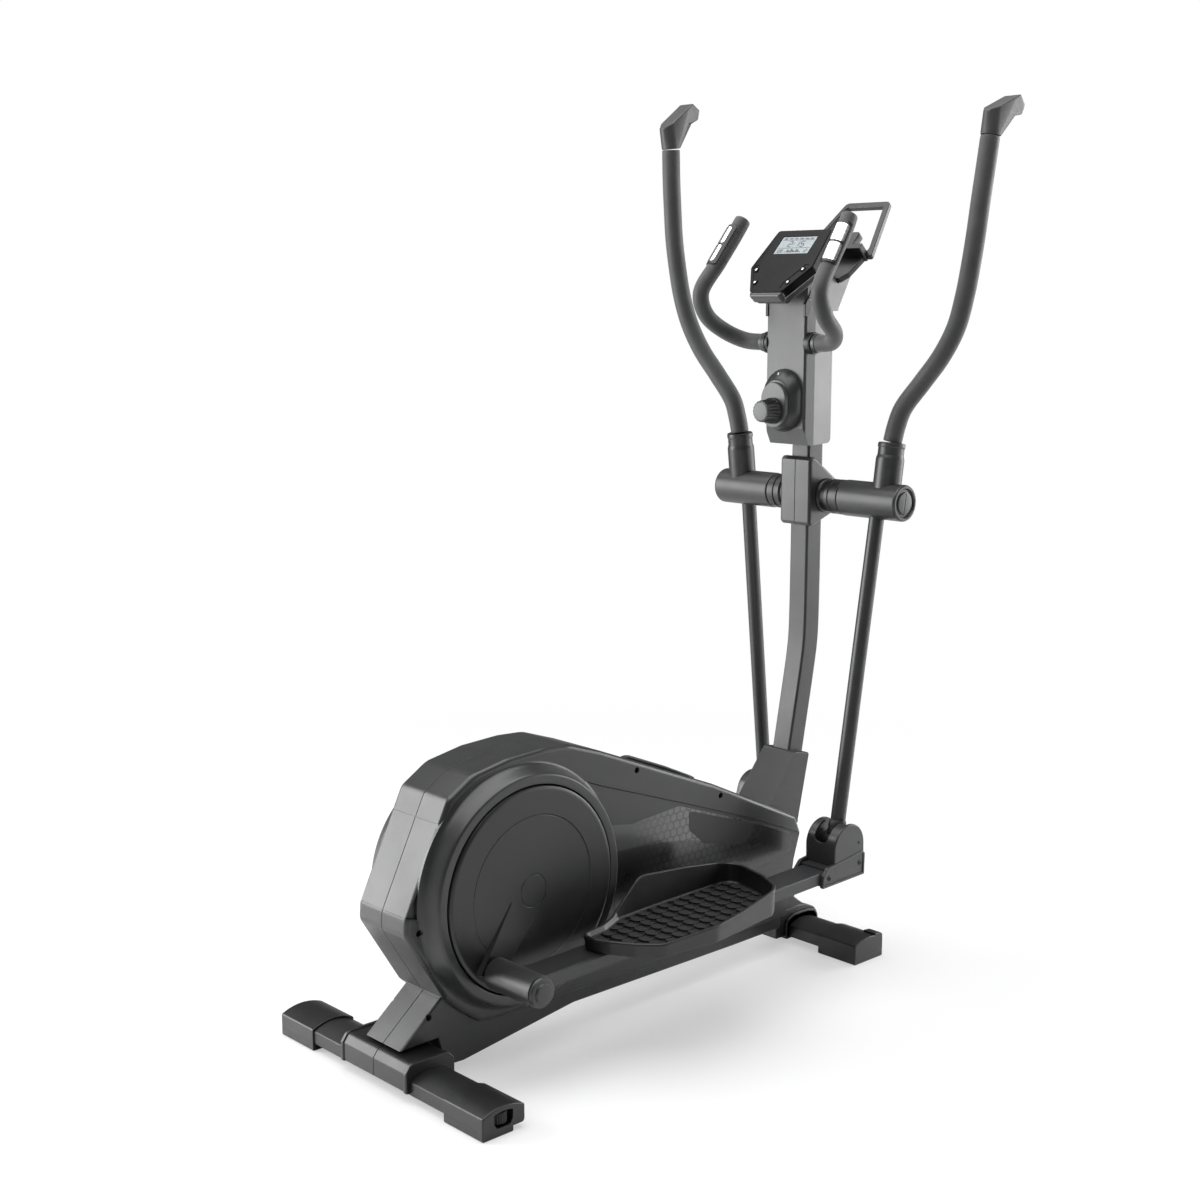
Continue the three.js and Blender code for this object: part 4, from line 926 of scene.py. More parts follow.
def arch_outline(rear, front, centre_z, foot_z, steps=20):
    """A plate's outline with a half-round top."""
    radius = (front - rear) / 2
    middle = (front + rear) / 2
    arc = [(middle + radius * math.cos(math.pi * k / steps),
            centre_z + radius * math.sin(math.pi * k / steps))
           for k in range(steps + 1)]
    return [(rear, foot_z), (front, foot_z)] + arc


def knuckle_hood(side, rear, front, crown, across):
    """The curved skin between the cheeks, with a round mouth for the swing arm."""
    middle = (rear + front) / 2
    sweep = [math.radians(angle) for angle in range(96, 181, 7)]
    outer, inner = HOOD_RADII
    outline = [(middle + outer * math.cos(a), crown + outer * math.sin(a)) for a in sweep]
    outline += [(rear + 0.4, ARM_TOP + 1), (rear + 4.4, ARM_TOP + 1)]
    outline += [(middle + inner * math.cos(a), crown + inner * math.sin(a)) for a in reversed(sweep)]
    hood = prism(outline, "XZ", *across)
    mouth = rounded([(LOWER_REACH - 17, 52, 15), (LOWER_REACH + 17, 52, 15), (LOWER_REACH + 19, 140),
                     (LOWER_REACH - 19, 140)])
    return carve(hood, prism([(side * y, z) for y, z in mouth], "YZ", rear - 20, middle + 20))


def knuckle_cover(side, word):
    """Two cheeks with brackets, joined by plates, a hood and a nose."""
    kx, kz = KNUCKLE
    rear, front = kx - 48, kx + 40
    crown = kz - 4
    arch = arch_outline(rear, front, crown, -8)
    skirt = [(rear - 37, ARM_BOTTOM - 5, 4), (front, ARM_BOTTOM - 5, 3), (front + 2, 20, 5),
             (front - 6, 27, 8),
             (rear - 20, 16, 10), (rear - 34, 2, 6)]
    lip = inset(rounded(skirt), 5)
    parts = []
    for near, far in ((ARM_OUTER + 0.6, ARM_OUTER + 6.5), (ARM_INNER - 0.6, ARM_INNER - 6.5)):
        cheek = soft_slab(arch, "XZ", side * near, side * far, 3.0, 0.6, 4)
        parts.append(cheek)
    for near, far in ((ARM_OUTER + 0.6, ARM_OUTER + 8), (ARM_INNER - 0.6, ARM_INNER - 8)):
        bracket = soft_slab(rounded(skirt), "XZ", side * near, side * far, 1.8, 0.5)
        way = 1 if far > near else -1
        hollow = soft_slab(lip, "XZ", side * (far + way * 4), side * (far - way * 1.8), 0.4, 0.4, 2)
        parts.append(carve(bracket, hollow))
    across = span(side, ARM_INNER - 1, ARM_OUTER + 1)
    parts.append(soft_slab(rectangle((rear - 20, front), across), "XY", ARM_TOP + 0.4, ARM_TOP + 3.4, 1,
                           0.3, 2))
    parts.append(soft_slab(rectangle((rear - 30, front), across), "XY", ARM_BOTTOM - 0.4, ARM_BOTTOM - 4,
                           1, 0.3, 2))
    parts.append(knuckle_hood(side, rear, front, crown, across))
    nose = [(front - 0.4, ARM_BOTTOM - 4, 1.5), (front + 3, ARM_BOTTOM - 4, 1.5),
            (front + 3, ARM_TOP + 25, 1.5),
            (front - 0.4, ARM_TOP + 26, 1.2)]
    parts.append(prism(rounded(nose, 3), "XZ", *across))
    settle(joined(*parts), f"knuckle_shell_{word}", ARM_FRAMES[side], f"pedal_arm_{word}", "housing",
           "charcoal_plastic", f"knuckle_cover_{word}", crease=40)
    bolts = []
    for x, z in ((rear - 16, -6), (front - 14, 4)):
        bolts.append(screw_head(x, side * (ARM_OUTER + 5.2), z, 6.2, side, 2.6))
        bolts.append(screw_head(x, side * (ARM_INNER - 5.2), z, 6.2, -side, 2.6))
    bolts.append(screw_head(front - 16, side * (ARM_OUTER + 6.2), kz - 2, 3.6, side, 1.2))
    settle(joined(*bolts), f"knuckle_bolts_{word}", ARM_FRAMES[side], f"pedal_arm_{word}", "rubber",
           "steel")


# ---------------------------------------------------------------- swing arms
TEE = [(0, 230.6), (19, 230.6), (20.6, 229.8), (21.4, 227.4), (26.6, 226.8), (27.6, 229.6), (29, 230.8),
       (32, 230.8), (33.6, 229.8), (34.8, 227.6), (35, 225), (35, 93), (34, 90.8), (32, 90), (0, 90)]
SOCKET = [(0, 0), (27, 0), (27, 80), (26.6, 83), (25.2, 87), (24.8, 89), (24.8, 100), (25, 102),
          (25.8, 103),
          (26, 104.4), (26, 109), (25.2, 111.4), (23.6, 112), (0, 112)]
HANDLE_LINE = [(2, 182, 113.4), (2.2, 187, 145), (3, 197, 178), (3, 234, 228), (1, 272, 278),
               (-1, 299, 332),
               (-4, 312, 389), (-5, 318, 447), (-5, 321, 506), (-3, 321, 564), (0, 321, 622), (4, 320, 680)]
HANDLE_REACH = 320.0
TIP_NECK = {"forward": 4.4, "radius": 18.5, "low": 681.6, "high": 694}
TIP_LIP = [(-16.5, 7, 720), (-17, 7, 724), (0, 18.5, 733)]       # forward, half width, up
TIP_WAIST = [(16, 18.5, 729), (57, 13, 727.6), (47, 18.5, 760)]
TIP_NOSE = [(59, 18.5, 767), (82, 14, 752.6), (76, 14, 734)]
LEANED = Matrix.Rotation(-HANDLE_LEAN, 4, "Y")


def mirrored(line, side):
    return [(x, side * y, z) for x, y, z in line]


def hull(points):
    """The smallest convex body round the points."""
    bm = bmesh.new()
    for point in points:
        bm.verts.new(point)
    result = bmesh.ops.convex_hull(bm, input=bm.verts)
    leftover = result["geom_interior"] + result["geom_unused"]
    spare = {item for item in leftover if isinstance(item, bmesh.types.BMVert)}
    bmesh.ops.delete(bm, geom=list(spare), context="VERTS")
    bmesh.ops.dissolve_limit(bm, angle_limit=0.01, verts=bm.verts, edges=bm.edges)
    return blank(bm)


def handle_tip(side):
    """The moulded head: a round neck, a sloping thumb face and a blunt nose."""
    def corners(rows):
        return [(x, side * (HANDLE_REACH + sign * half), z) for x, half, z in rows for sign in (1, -1)]

    neck = [
        (TIP_NECK["forward"] + TIP_NECK["radius"] * math.cos(angle),
         side * (HANDLE_REACH + TIP_NECK["radius"] * math.sin(angle)), z)
        for z in (TIP_NECK["low"], TIP_NECK["high"])
        for angle in (FULL_TURN * i / 48 for i in range(48))
    ]
    tip = hull(neck + corners(TIP_LIP) + corners(TIP_WAIST))
    fuse(tip, hull(corners(TIP_WAIST) + corners(TIP_NOSE)))
    tip = eased(tip, 2.6, 3, 24)
    tip.data.transform(LEANED)
    return tip


def swing_arm(side, word):
    place, body = SWING_FRAMES[side], f"swing_arm_{word}"
    tee = turned(TEE, "Y", (0, 0, 0), 72, side)
    carve(tee, box((-0.8, 0.8), span(side, 229.4, 240), (-24, 24)))
    socket = turned(SOCKET, "Z", (1.3, side * 182, 0), 64)
    socket.data.transform(LEANED)
    lower = turned([(0, -20), (14.5, -20), (14.5, -SWING_ARM_SPAN), (0, -SWING_ARM_SPAN)], "Z",
                   (0, side * LOWER_REACH, 0), 48)
    eye = turned([(0, 147), (16, 147), (17, 148), (17, 188), (16, 189), (0, 189)], "Y",
                 (0, 0, -SWING_ARM_SPAN), 48, side)
    fuse(tee, socket, lower, eye)
    settle(tee, f"swing_tube_{word}", place, body, "coat", "powder_coat", f"swing_arm_{word}", crease=32)
    collar_profile = [(14.4, -648), (17.4, -646), (18, -640), (16.6, -636), (17.6, -630), (16.8, -624),
                      (15.6, -620), (14.4, -619)]
    collar = turned(collar_profile, "Z", (0, side * LOWER_REACH, 0), 48)
    settle(collar, f"swing_collar_{word}", place, body, "rubber", "rubber")
    grip = swept(curve_points(mirrored(HANDLE_LINE, side)), 18, 40, 2.5, up=Vector((1, 0, 0)))
    grip.data.transform(LEANED)
    settle(grip, f"foam_grip_{word}", place, body, "foam", "foam", f"handle_grip_{word}", crease=60,
           padded=1.0)
    settle(handle_tip(side), f"grip_tip_{word}", place, body, "tip", "black_plastic", f"handle_tip_{word}",
           crease=24)


# ---------------------------------------------------------------- mast and pivot
MAST_REAR, MAST_FRONT, MAST_HALF = 785.0, 829.0, 22.0
BEND_HEIGHT, MAST_SLOPE, BEND_SOFTNESS = 610.0, 0.199, 34.0
BLOCK = [(771, 850, 4), (777, 844, 4), (786, 844), (852, 868, 8), (854, 930, 8), (786, 978, 8),
         (777, 978, 4),
         (771, 972, 4)]
BUSH = [(12.5, 38.4), (33.6, 38.4), (33.6, 41), (31.2, 43.4), (30.6, 46), (30.6, 55), (32.4, 57),
        (33.8, 58.6),
        (33.8, 66), (32.2, 67.4), (32.2, 73), (34, 74), (34, 88), (33, 89.2), (12.5, 89.2)]


def mast_shift(z):
    """How far the mast leans back at a height below its soft bend."""
    drop = BEND_HEIGHT - z
    return -MAST_SLOPE * (math.hypot(drop, BEND_SOFTNESS) + drop) / 2


def mast():
    section = rounded([(MAST_REAR, -MAST_HALF, 5), (MAST_FRONT, -MAST_HALF, 5), (MAST_FRONT, MAST_HALF, 5),
                       (MAST_REAR, MAST_HALF, 5)], 5)
    heights = [156, 300, 420, 500] + [BEND_HEIGHT + 10 * k for k in range(-9, 10)] + [760, 1000, 1180]
    tube = loft([[(x + mast_shift(z), y, z) for x, y in section] for z in heights])
    settle(tube, "mast_tube", MACHINE, "frame", "coat", "powder_coat", "mast")


def boot():
    def level(rear, front, z_rear, z_front, spread):
        half = 41 - spread
        near = [(rear + 9, -half, z_rear - 1), (front, -half, z_front)]
        far = [(front, half, z_front), (rear + 4, half, z_rear - 0.5)]
        return [(rear, -13, z_rear)] + near + far + [(rear, half - 4, z_rear)]

    loops = [level(656, 751, 296, 250, 0), level(656.6, 751.6, 303, 258, 0),
             level(732.6, 781.6, 394, 385, 0.6),
             level(734.2, 781.4, 397, 387.8, 1.6), level(736.4, 780.4, 398, 389, 3.4)]
    settle(loft(loops), "boot_shell", MACHINE, "frame", "black", "black_plastic", "mast_boot", crease=28)


def pivot_parts(side, word):
    half = soft_slab(rounded(BLOCK), "XZ", side * SEAM, side * 38, 5.5, 0.7, 4)
    settle(half, f"pivot_shell_{word}", MACHINE, "frame", "housing", "charcoal_plastic",
           f"pivot_block_{word}",
           crease=40)
    bush = turned(BUSH, "Y", (PIVOT[0], 0, PIVOT[1]), 64, side)
    settle(bush, f"pivot_collar_{word}", MACHINE, "frame", "black", "black_plastic", f"pivot_bush_{word}")


# ---------------------------------------------------------------- casing and knob
CASING_PLAN = [(736, -46), (741, -49, 2), (766, -49, 3), (842, -29, 4), (842, 29, 4), (766, 49, 3),
               (741, 49, 2), (736, 46)]
NECK_PLAN = [(736, -46), (741, -49, 2), (766, -49, 3), (888, -36, 3), (888, 36, 3), (766, 49, 3),
             (741, 49, 2), (736, 46)]
CASING_SIDE = [(736, 1309, 5), (736, 1036, 10), (752, 1003, 3), (842, 1003, 16), (842, 1262, 10),
               (885, 1328, 3),
               (870.6, 1341.2, 3), (839.9, 1309.2), (786.1, 1360.8, 3)]
CASING_BRACKET = [(733.6, 1248, 2), (733.6, 1272, 3), (752, 1301, 3), (770, 1314, 3), (778, 1302, 3),
                  (752, 1266, 4), (741, 1248, 2)]
BOSS = [(0, 46), (19.6, 46), (19.6, 52), (21, 53), (21, 59.6), (19.8, 61.2), (0, 61.5)]
GRIP_BAR = (752.0, 1198.0)


def casing():
    side_view = rounded(CASING_SIDE, 5)
    lower = keep_common(prism(side_view, "XZ", -60, 60), prism(rounded(CASING_PLAN, 3), "XY", 990, 1262))
    neck = keep_common(prism(side_view, "XZ", -60, 60), prism(rounded(NECK_PLAN, 3), "XY", 1258, 1380))
    fuse(lower, neck)
    settle(lower, "casing_shell", MACHINE, "frame", "grey", "grey_plastic", "console_casing", crease=28)
    for word, side in SIDES.items():
        boss = turned(BOSS, "Y", (GRIP_BAR[0], 0, GRIP_BAR[1]), 48, side)
        settle(boss, f"casing_collar_{word}", MACHINE, "frame", "black", "black_plastic")
        plate = soft_slab(rounded(CASING_BRACKET), "XZ", *span(side, 44, 50.4), 1.2, 0.8)
        settle(plate, f"casing_bracket_{word}", MACHINE, "frame", "black", "black_plastic")
        screw = screw_head(746, side * 50, 1283, 4.5, side, 1.6)
        settle(screw, f"casing_screw_{word}", MACHINE, "frame", "iron", "steel")


KNOB = [(19, 667.4, 0.4), (20.4, 668.4, 1.2), (21, 671, 1.8), (21.2, 678, 2.0), (23.4, 690, 2.2),
        (24.4, 695, 1.2), (24.9, 696, 0), (25, 700.8, 0), (24, 701.6, 0)]
KNOB_RIBS = 18
DOME = [(43, 1028, 1149, 735.7), (42.8, 1028.2, 1148.6, 731), (41.4, 1029.6, 1145.6, 725),
        (39, 1031.4, 1140, 719),
        (36.4, 1033, 1133.6, 714), (34, 1034.6, 1128.4, 711), (31.6, 1036.4, 1124.8, 710)]
DOME_PLATE = [(31.6, 1036.4, 1124.6, 712), (31.2, 1036.8, 1124, 705), (30.4, 1037.6, 1123, 702.8),
              (28.6, 1039.4, 1121, 702)]


def oval_loop(half, low, high, x, steps=20):
    """A ring at x of two half rounds joined by straight sides."""
    upper = [(high - half, math.pi * k / steps) for k in range(steps + 1)]
    lower = [(low + half, math.pi * (1 + k / steps)) for k in range(steps + 1)]
    return [(x, half * math.cos(angle), centre + half * math.sin(angle)) for centre, angle in upper + lower]


SEGMENTS_PER_RIB = 6


def ribbed(profile, centre, ribs):
    """A solid turned about X whose rings are fluted: rows of (radius, x, flute depth)."""
    loops = []
    count = ribs * SEGMENTS_PER_RIB
    for radius, x, depth in profile:
        ring = []
        for i in range(count):
            angle = FULL_TURN * i / count
            size = radius - depth * (0.5 - 0.5 * math.cos(ribs * angle)) ** 2
            ring.append((x, centre[0] + size * math.cos(angle), centre[1] + size * math.sin(angle)))
        loops.append(ring)
    return loft(loops)


def knob_parts():
    dome = loft([oval_loop(*row) for row in DOME])
    settle(dome, "knob_dome", MACHINE, "frame", "housing", "charcoal_plastic", "knob_housing", crease=34)
    plate = loft([oval_loop(*row) for row in DOME_PLATE])
    settle(plate, "knob_plate", MACHINE, "frame", "grey", "grey_plastic", crease=34)
    centre = (0, KNOB_HEIGHT)
    body = ribbed(KNOB, centre, KNOB_RIBS)
    settle(body, "knob_body", MACHINE, "tension_knob", "black", "black_plastic", "tension_knob", crease=40)
    cap = turned([(0, 666), (16.2, 666), (18, 666.6), (18.8, 667.8), (18.8, 670), (0, 670)], "X",
                 (0, *centre), 48)
    settle(cap, "knob_cap", MACHINE, "tension_knob", "grey", "grey_plastic")
    mark = prism([(-1.6, 1138), (1.6, 1138), (0, 1143)], "YZ", 716, 724)
    settle(mark, "knob_mark", MACHINE, "frame", "pale", "grey_plastic")


# ---------------------------------------------------------------- console
FACE = [(0, 40, 8), (63, 77, 12), (162, 66, 8), (162, -66, 8), (63, -77, 12), (0, -40, 8)]
UNDER = [(-2, 38, 8), (63, 73, 12), (154, 62, 8), (154, -62, 8), (63, -73, 12), (-2, -38, 8)]
SCREEN_LOW, SCREEN_HIGH, SCREEN_HALF = 99.0, 144.0, 43.0
KEYS = {"button_upper_left": (57, 58), "button_lower_left": (24, 41), "button_upper_right": (57, -58),
        "button_lower_right": (24, -41)}
KEY_PANEL = [(8, 30, 2), (8, 36, 2), (58, 67, 4), (69, 67, 3), (70, 57, 3), (52, 48, 3), (22, 30, 3)]
SEGMENTS = {"a": ((0, 1), (1, 1)), "b": ((1, 1), (1, 0.5)), "c": ((1, 0.5), (1, 0)), "d": ((0, 0), (1, 0)),
            "e": ((0, 0), (0, 0.5)), "f": ((0, 0.5), (0, 1)), "g": ((0, 0.5), (1, 0.5))}
DIGITS = {"0": "abcdef", "1": "bc", "2": "abged", "5": "afgcd", "8": "abcdefg"}


def ink_stroke(start, end, width, level):
    return prism(ribbon([start, end], width), "XY", level, level + 0.2)


def digit_strokes(text, low, right, height, width, weight, level):
    """Seven-segment digits; the reader looks up the slope, so text runs from +Y to -Y."""
    strokes = []
    y = right
    for mark in text:
        if mark == ":":
            strokes += [ink_stroke((low + height * s, y), (low + height * s + weight, y), weight, level)
                        for s in (0.28, 0.62)]
            y -= width * 0.6
            continue
        for name in DIGITS[mark]:
            (u0, v0), (u1, v1) = SEGMENTS[name]
            start = Vector((low + v0 * height, y - u0 * width))
            end = Vector((low + v1 * height, y - u1 * width))
            gap = (end - start).normalized() * 0.5
            strokes.append(ink_stroke(tuple(start + gap), tuple(end - gap), weight, level))
        y -= width * 1.6
    return strokes


FACE_THICKNESS = 17.2
TRIM_BOTTOM = -19.2
INK_LEVEL = -0.9
KEY_HALF = (5.6, 4.6)
KEY_MARK_HALF = (2.4, 2.2)


def around(a, y, half):
    """The limits of a rectangle from its middle and half sizes."""
    return (a - half[0], a + half[0]), (y - half[1], y + half[1])


def console_shell():
    shell = soft_slab(rounded(FACE), "XY", -FACE_THICKNESS, 0, 2.4, 0.6, 4)
    well = rectangle((SCREEN_LOW - 0.4, SCREEN_HIGH + 0.4), (-SCREEN_HALF - 0.4, SCREEN_HALF + 0.4), 2)
    carve(shell, soft_slab(well, "XY", -4, 2, 0.3, 0.3, 2))
    for side in (LEFT, RIGHT):
        panel = rounded([(a, side * y, r) for a, y, r in KEY_PANEL])
        carve(shell, soft_slab(panel, "XY", -0.9, 2, 0.2, 0.2, 2))
    settle(shell, "console_face", CONSOLE, "frame", "gloss", "gloss_plastic", "console_body", crease=30)
    line = soft_slab(inset(rounded(FACE), 0.4), "XY", TRIM_BOTTOM, -FACE_THICKNESS, 0.5, 0.5, 2)
    settle(line, "console_line", CONSOLE, "frame", "trim", "grey_plastic")
    under = soft_slab(rounded(UNDER), "XY", TRIM_BOTTOM, -34, 6, 0.5, 4)
    settle(under, "console_under", CONSOLE, "frame", "black", "gloss_plastic", crease=40)
    lip_plan = rounded([(-9, 37, 6), (3, 42.5, 4), (3, -42.5, 4), (-9, -37, 6)])
    upper_lip = soft_slab(lip_plan, "XY", -12.6, -2.2, 4, 0.8, 4)
    lower_lip = soft_slab(inset(lip_plan, 0.8), "XY", -13.2, -23, 4, 0.8, 4)
    settle(joined(upper_lip, lower_lip), "console_lip", CONSOLE, "frame", "satin", "gloss_plastic",
           crease=40)


def display():
    """The window, with digits, a bar chart and two rules in ink."""
    window = rectangle((SCREEN_LOW, SCREEN_HIGH), (-SCREEN_HALF, SCREEN_HALF))
    settle(soft_slab(window, "XY", -3.7, INK_LEVEL, 0.3, 0.2, 2), "display_window", CONSOLE, "frame",
           "lcd", "lcd",
           "console_screen")
    strokes = digit_strokes("2:15", 118, 19, 14, 8, 1.5, INK_LEVEL)
    strokes += digit_strokes("08", 103, 36, 7.5, 4.4, 1.0, INK_LEVEL)
    strokes += digit_strokes("12", 103, -25, 7.5, 4.4, 1.0, INK_LEVEL)
    for k in range(9):
        y = 16 - 4.4 * k
        strokes.append(ink_stroke((103, y), (105 + (k * 5) % 8, y), 2.8, INK_LEVEL))
    for a in (114.4, 135.4):
        strokes.append(ink_stroke((a, 39), (a, -39), 0.7, INK_LEVEL))
    for k in range(6):
        strokes.append(ink_stroke((139, 37 - 13 * k), (139, 29 - 13 * k), 2.2, INK_LEVEL))
    settle(joined(*strokes), "display_ink", CONSOLE, "frame", "ink", "lcd")


def console_keys():
    for name, (a, y) in KEYS.items():
        place = name.removeprefix("button_")
        key = soft_slab(rectangle(*around(a, y, KEY_HALF), 3), "XY", -5.5, 1.0, 0.8, 0.3)
        settle(key, f"key_{place}", CONSOLE, name, "gloss", "grey_plastic", name)
        mark = soft_slab(rectangle(*around(a, y, KEY_MARK_HALF), 1), "XY", 0.8, 1.25, 0.2, 0.1, 2)
        settle(mark, f"key_mark_{place}", CONSOLE, name, "pale", "grey_plastic")


REST_BACK, REST_FRONT = -108.0, -97.0


def tablet_rest():
    """An open frame on a spine, with a ledge, a hook and a stay to the console."""
    outer = rounded([(186, 92, 6), (336, 54, 12), (336, -54, 12), (186, -92, 6)])
    opening = rounded([(200, 76, 8), (200, -76, 8), (322, -45, 8), (322, 45, 8)])
    rest = soft_slab(outer, "XY", REST_BACK, REST_FRONT, 2.4)
    spine = rounded([(126, 48, 3), (140, 62, 8), (196, 78, 3), (196, -78, 3), (140, -62, 8), (126, -48, 3)])
    ledge = rectangle((182, 196), (80, -80), 3)
    hook = rounded([(190, -44, 3), (238, -44, 6), (238, -24, 6), (190, -24, 3)])
    stay = rectangle((126, 142), (-26, 26), 3)
    fuse(rest, soft_slab(spine, "XY", REST_BACK, REST_FRONT + 0.4, 2),
         soft_slab(ledge, "XY", REST_BACK + 0.2, -72, 1.6), soft_slab(stay, "XY", REST_FRONT - 2, -34.4, 1))
    carve(rest, stepped(opening, "XY", [(REST_BACK - 1, -2), (REST_BACK + 1.6, 0), (REST_FRONT - 1.6, 0),
                                        (REST_FRONT + 1, -2)]))
    fuse(rest, soft_slab(hook, "XY", REST_FRONT - 2, -82, 2))
    settle(rest, "tablet_rest", CONSOLE, "frame", "black", "black_plastic", "tablet_frame", crease=34)


# ---------------------------------------------------------------- fixed handlebars
FIXED_LINE = [(752, 66, 1198), (742, 108, 1201), (713, 138, 1219), (671, 149, 1251), (656, 149, 1292),
              (696, 141, 1351), (734, 137, 1400), (757, 133, 1434)]
GRIP_RADIUS = 16.0


def wrapped_patch(start, along, facing, radius, length, half_arc, corner, thickness, steps=14):
    """A plate bent round a bar, its corners rounded."""
    loops = []
    over = along.cross(facing).normalized()
    for k in range(steps + 1):
        arc = half_arc * math.sin(math.pi / 2 * (2 * k / steps - 1))
        near_edge = max(0.0, corner - (half_arc - abs(arc)))
        trim = corner - math.sqrt(max(0.0, corner ** 2 - near_edge ** 2))
        angle = arc / radius
        out = facing * math.cos(angle) + over * math.sin(angle)
        low, high = start + along * trim, start + along * (length - trim)
        outer, inner = radius, radius - thickness
        loops.append([tuple(low + out * outer), tuple(high + out * outer), tuple(high + out * inner),
                      tuple(low + out * inner)])
    return loft(loops)


def fixed_grips(side, word):
    """Foam over the fixed bar, with a pulse sensor module and its two plates."""
    line = mirrored(FIXED_LINE, side)
    grip = swept(curve_points(line), GRIP_RADIUS, 40, 5, up=Vector((0, 1, 0)))
    settle(grip, f"fixed_foam_{word}", MACHINE, "frame", "foam", "foam", f"fixed_grip_{word}", crease=60,
           padded=1.0)
    low, high = Vector(line[5]), Vector(line[7])
    along = (high - low).normalized()
    facing = (Vector((-1, 0, 0)) - along * along.dot(Vector((-1, 0, 0)))).normalized()
    facing = (facing + Vector((0, side * 0.55, 0))).normalized()
    start = low - along * 14
    module = wrapped_patch(start, along, facing, GRIP_RADIUS + 3.2, 92, 22, 5, 7)
    settle(module, f"sensor_module_{word}", MACHINE, "frame", "black", "black_plastic", crease=40)
    for name, offset in (("low", 5), ("high", 48)):
        plate = wrapped_patch(start + along * offset, along, facing, GRIP_RADIUS + 4.0, 38, 15, 5, 3)
        settle(plate, f"sensor_plate_{name}_{word}", MACHINE, "frame", "plate", "steel", crease=40)
    ring = turned([(12, 62), (17.4, 62), (18, 62.6), (18, 69.4), (17.4, 70), (12, 70)], "Y",
                  (GRIP_BAR[0], 0, GRIP_BAR[1]), 48, side)
    settle(ring, f"grip_ring_{word}", MACHINE, "frame", "grey", "grey_plastic")


# ---------------------------------------------------------------- feet
REAR_SADDLE = [(-264, 16, 4), (-164, 10, 4), (-164, 52, 10), (-178, 66, 12), (-252, 66, 14), (-264, 50, 8)]
FRONT_HUMP = [(704.2, 60), (798, 60), (790, 68, 12), (764, 87, 12), (753, 94.8, 8), (704.2, 94.8)]
FRONT_RING = [(704.2, 14, 3), (829.8, 14, 3), (829.8, 44, 12), (819.6, 56, 14), (798, 65.6, 30),
              (770, 70.8, 40),
              (724, 67.8, 16), (710, 61, 8), (704.2, 52, 8)]
FRONT_FLANGE = [(731, 8.2, 3), (827.8, 8.2, 3), (827.8, 40, 14), (819.8, 52, 14), (796, 57.8, 40),
                (754, 57.8, 30),
                (734, 50, 12), (729.2, 42, 8)]


def saddles():
    """The moulded covers where the frame crosses the stabilisers."""
    halves = []
    for side in (LEFT, RIGHT):
        halves.append(soft_slab(inset(rounded(REAR_SADDLE), 2), "XZ", side * 0.3, side * 88, 1, 0.8))
        halves.append(soft_slab(rounded(REAR_SADDLE), "XZ", side * 83, side * 92, 2.4, 2.4))
    settle(joined(*halves), "rear_saddle", MACHINE, "frame", "black", "black_plastic", "rear_saddle_cover",
           crease=34)
    halves = []
    for side in (LEFT, RIGHT):
        half = soft_slab(rounded(FRONT_RING), "XZ", side * 0.15, side * 31, 2.4, 0.3)
        fuse(half, soft_slab(rounded(FRONT_FLANGE), "XZ", side * 20, side * 35, 2.2, 0.4),
             soft_slab(rounded(FRONT_HUMP), "XZ", side * 0.15, side * 29.6, 2.4, 0.3))
        carve(half, prism(inset(rounded(FRONT_FLANGE), 4.5), "XZ", *span(side, 33, 36)))
        halves.append(half)
    settle(joined(*halves), "front_saddle", MACHINE, "frame", "black", "black_plastic",
           "front_saddle_cover",
           crease=34)


REAR_BAR = {"x": -216, "reach": 280, "cap": 98}
FRONT_BAR = {"x": 778, "reach": 207, "cap": 94}


def bar_section(x, grown):
    """D-shaped section: flat underneath, softly arched on top."""
    half, low, corner, rise = 40 + grown, 12 - grown, 36 + grown, 10
    arch = [(x + half * t, corner + rise * (1 - t * t)) for t in (i / 8 for i in range(7, -8, -1))]
    return rounded([(x - half, low, 4 + grown), (x + half, low, 4 + grown),
                    (x + half, corner, 3 + grown)] + arch
                   + [(x - half, corner, 3 + grown)], 8)


def stabiliser(name, bar):
    reach = bar["reach"] - 20
    tube = prism(bar_section(bar["x"], 0), "XZ", -reach, reach)
    settle(tube, f"{name}_tube", MACHINE, "frame", "bar", "powder_coat", name)


def end_cap(bar, side, foot_reach):
    """A moulded sleeve on a stabiliser's end, with a foot block under it."""
    x, reach = bar["x"], bar["reach"]
    cap = soft_slab(bar_section(x, 3), "XZ", *span(side, reach - bar["cap"], reach), 2.6, 1.2)
    foot = rounded([(x - 43, 0.1, 4), (x + foot_reach, 0.1, 3), (x + foot_reach, 14), (x - 43, 14)])
    fuse(cap, soft_slab(foot, "XZ", *span(side, reach - bar["cap"] + 0.2, reach - 0.4), 2, 1.2))
    return cap


FLUTES = 24
FLUTE_DEPTH = 1.3
FLUTE_LIMIT = 15                # only rims wider than this are fluted


def fluted_wheel(x, y, levels):
    """A wheel about Z with a fluted rim; levels lists (radius, height)."""
    count = FLUTES * 4
    loops = []
    for radius, z in levels:
        cut = FLUTE_DEPTH if radius > FLUTE_LIMIT else 0
        radii = [radius - cut * (i % 4 < 2) for i in range(count)]
        loops.append([(x + r * math.cos(FULL_TURN * i / count), y + r * math.sin(FULL_TURN * i / count), z)
                      for i, r in enumerate(radii)])
    return loft(loops)


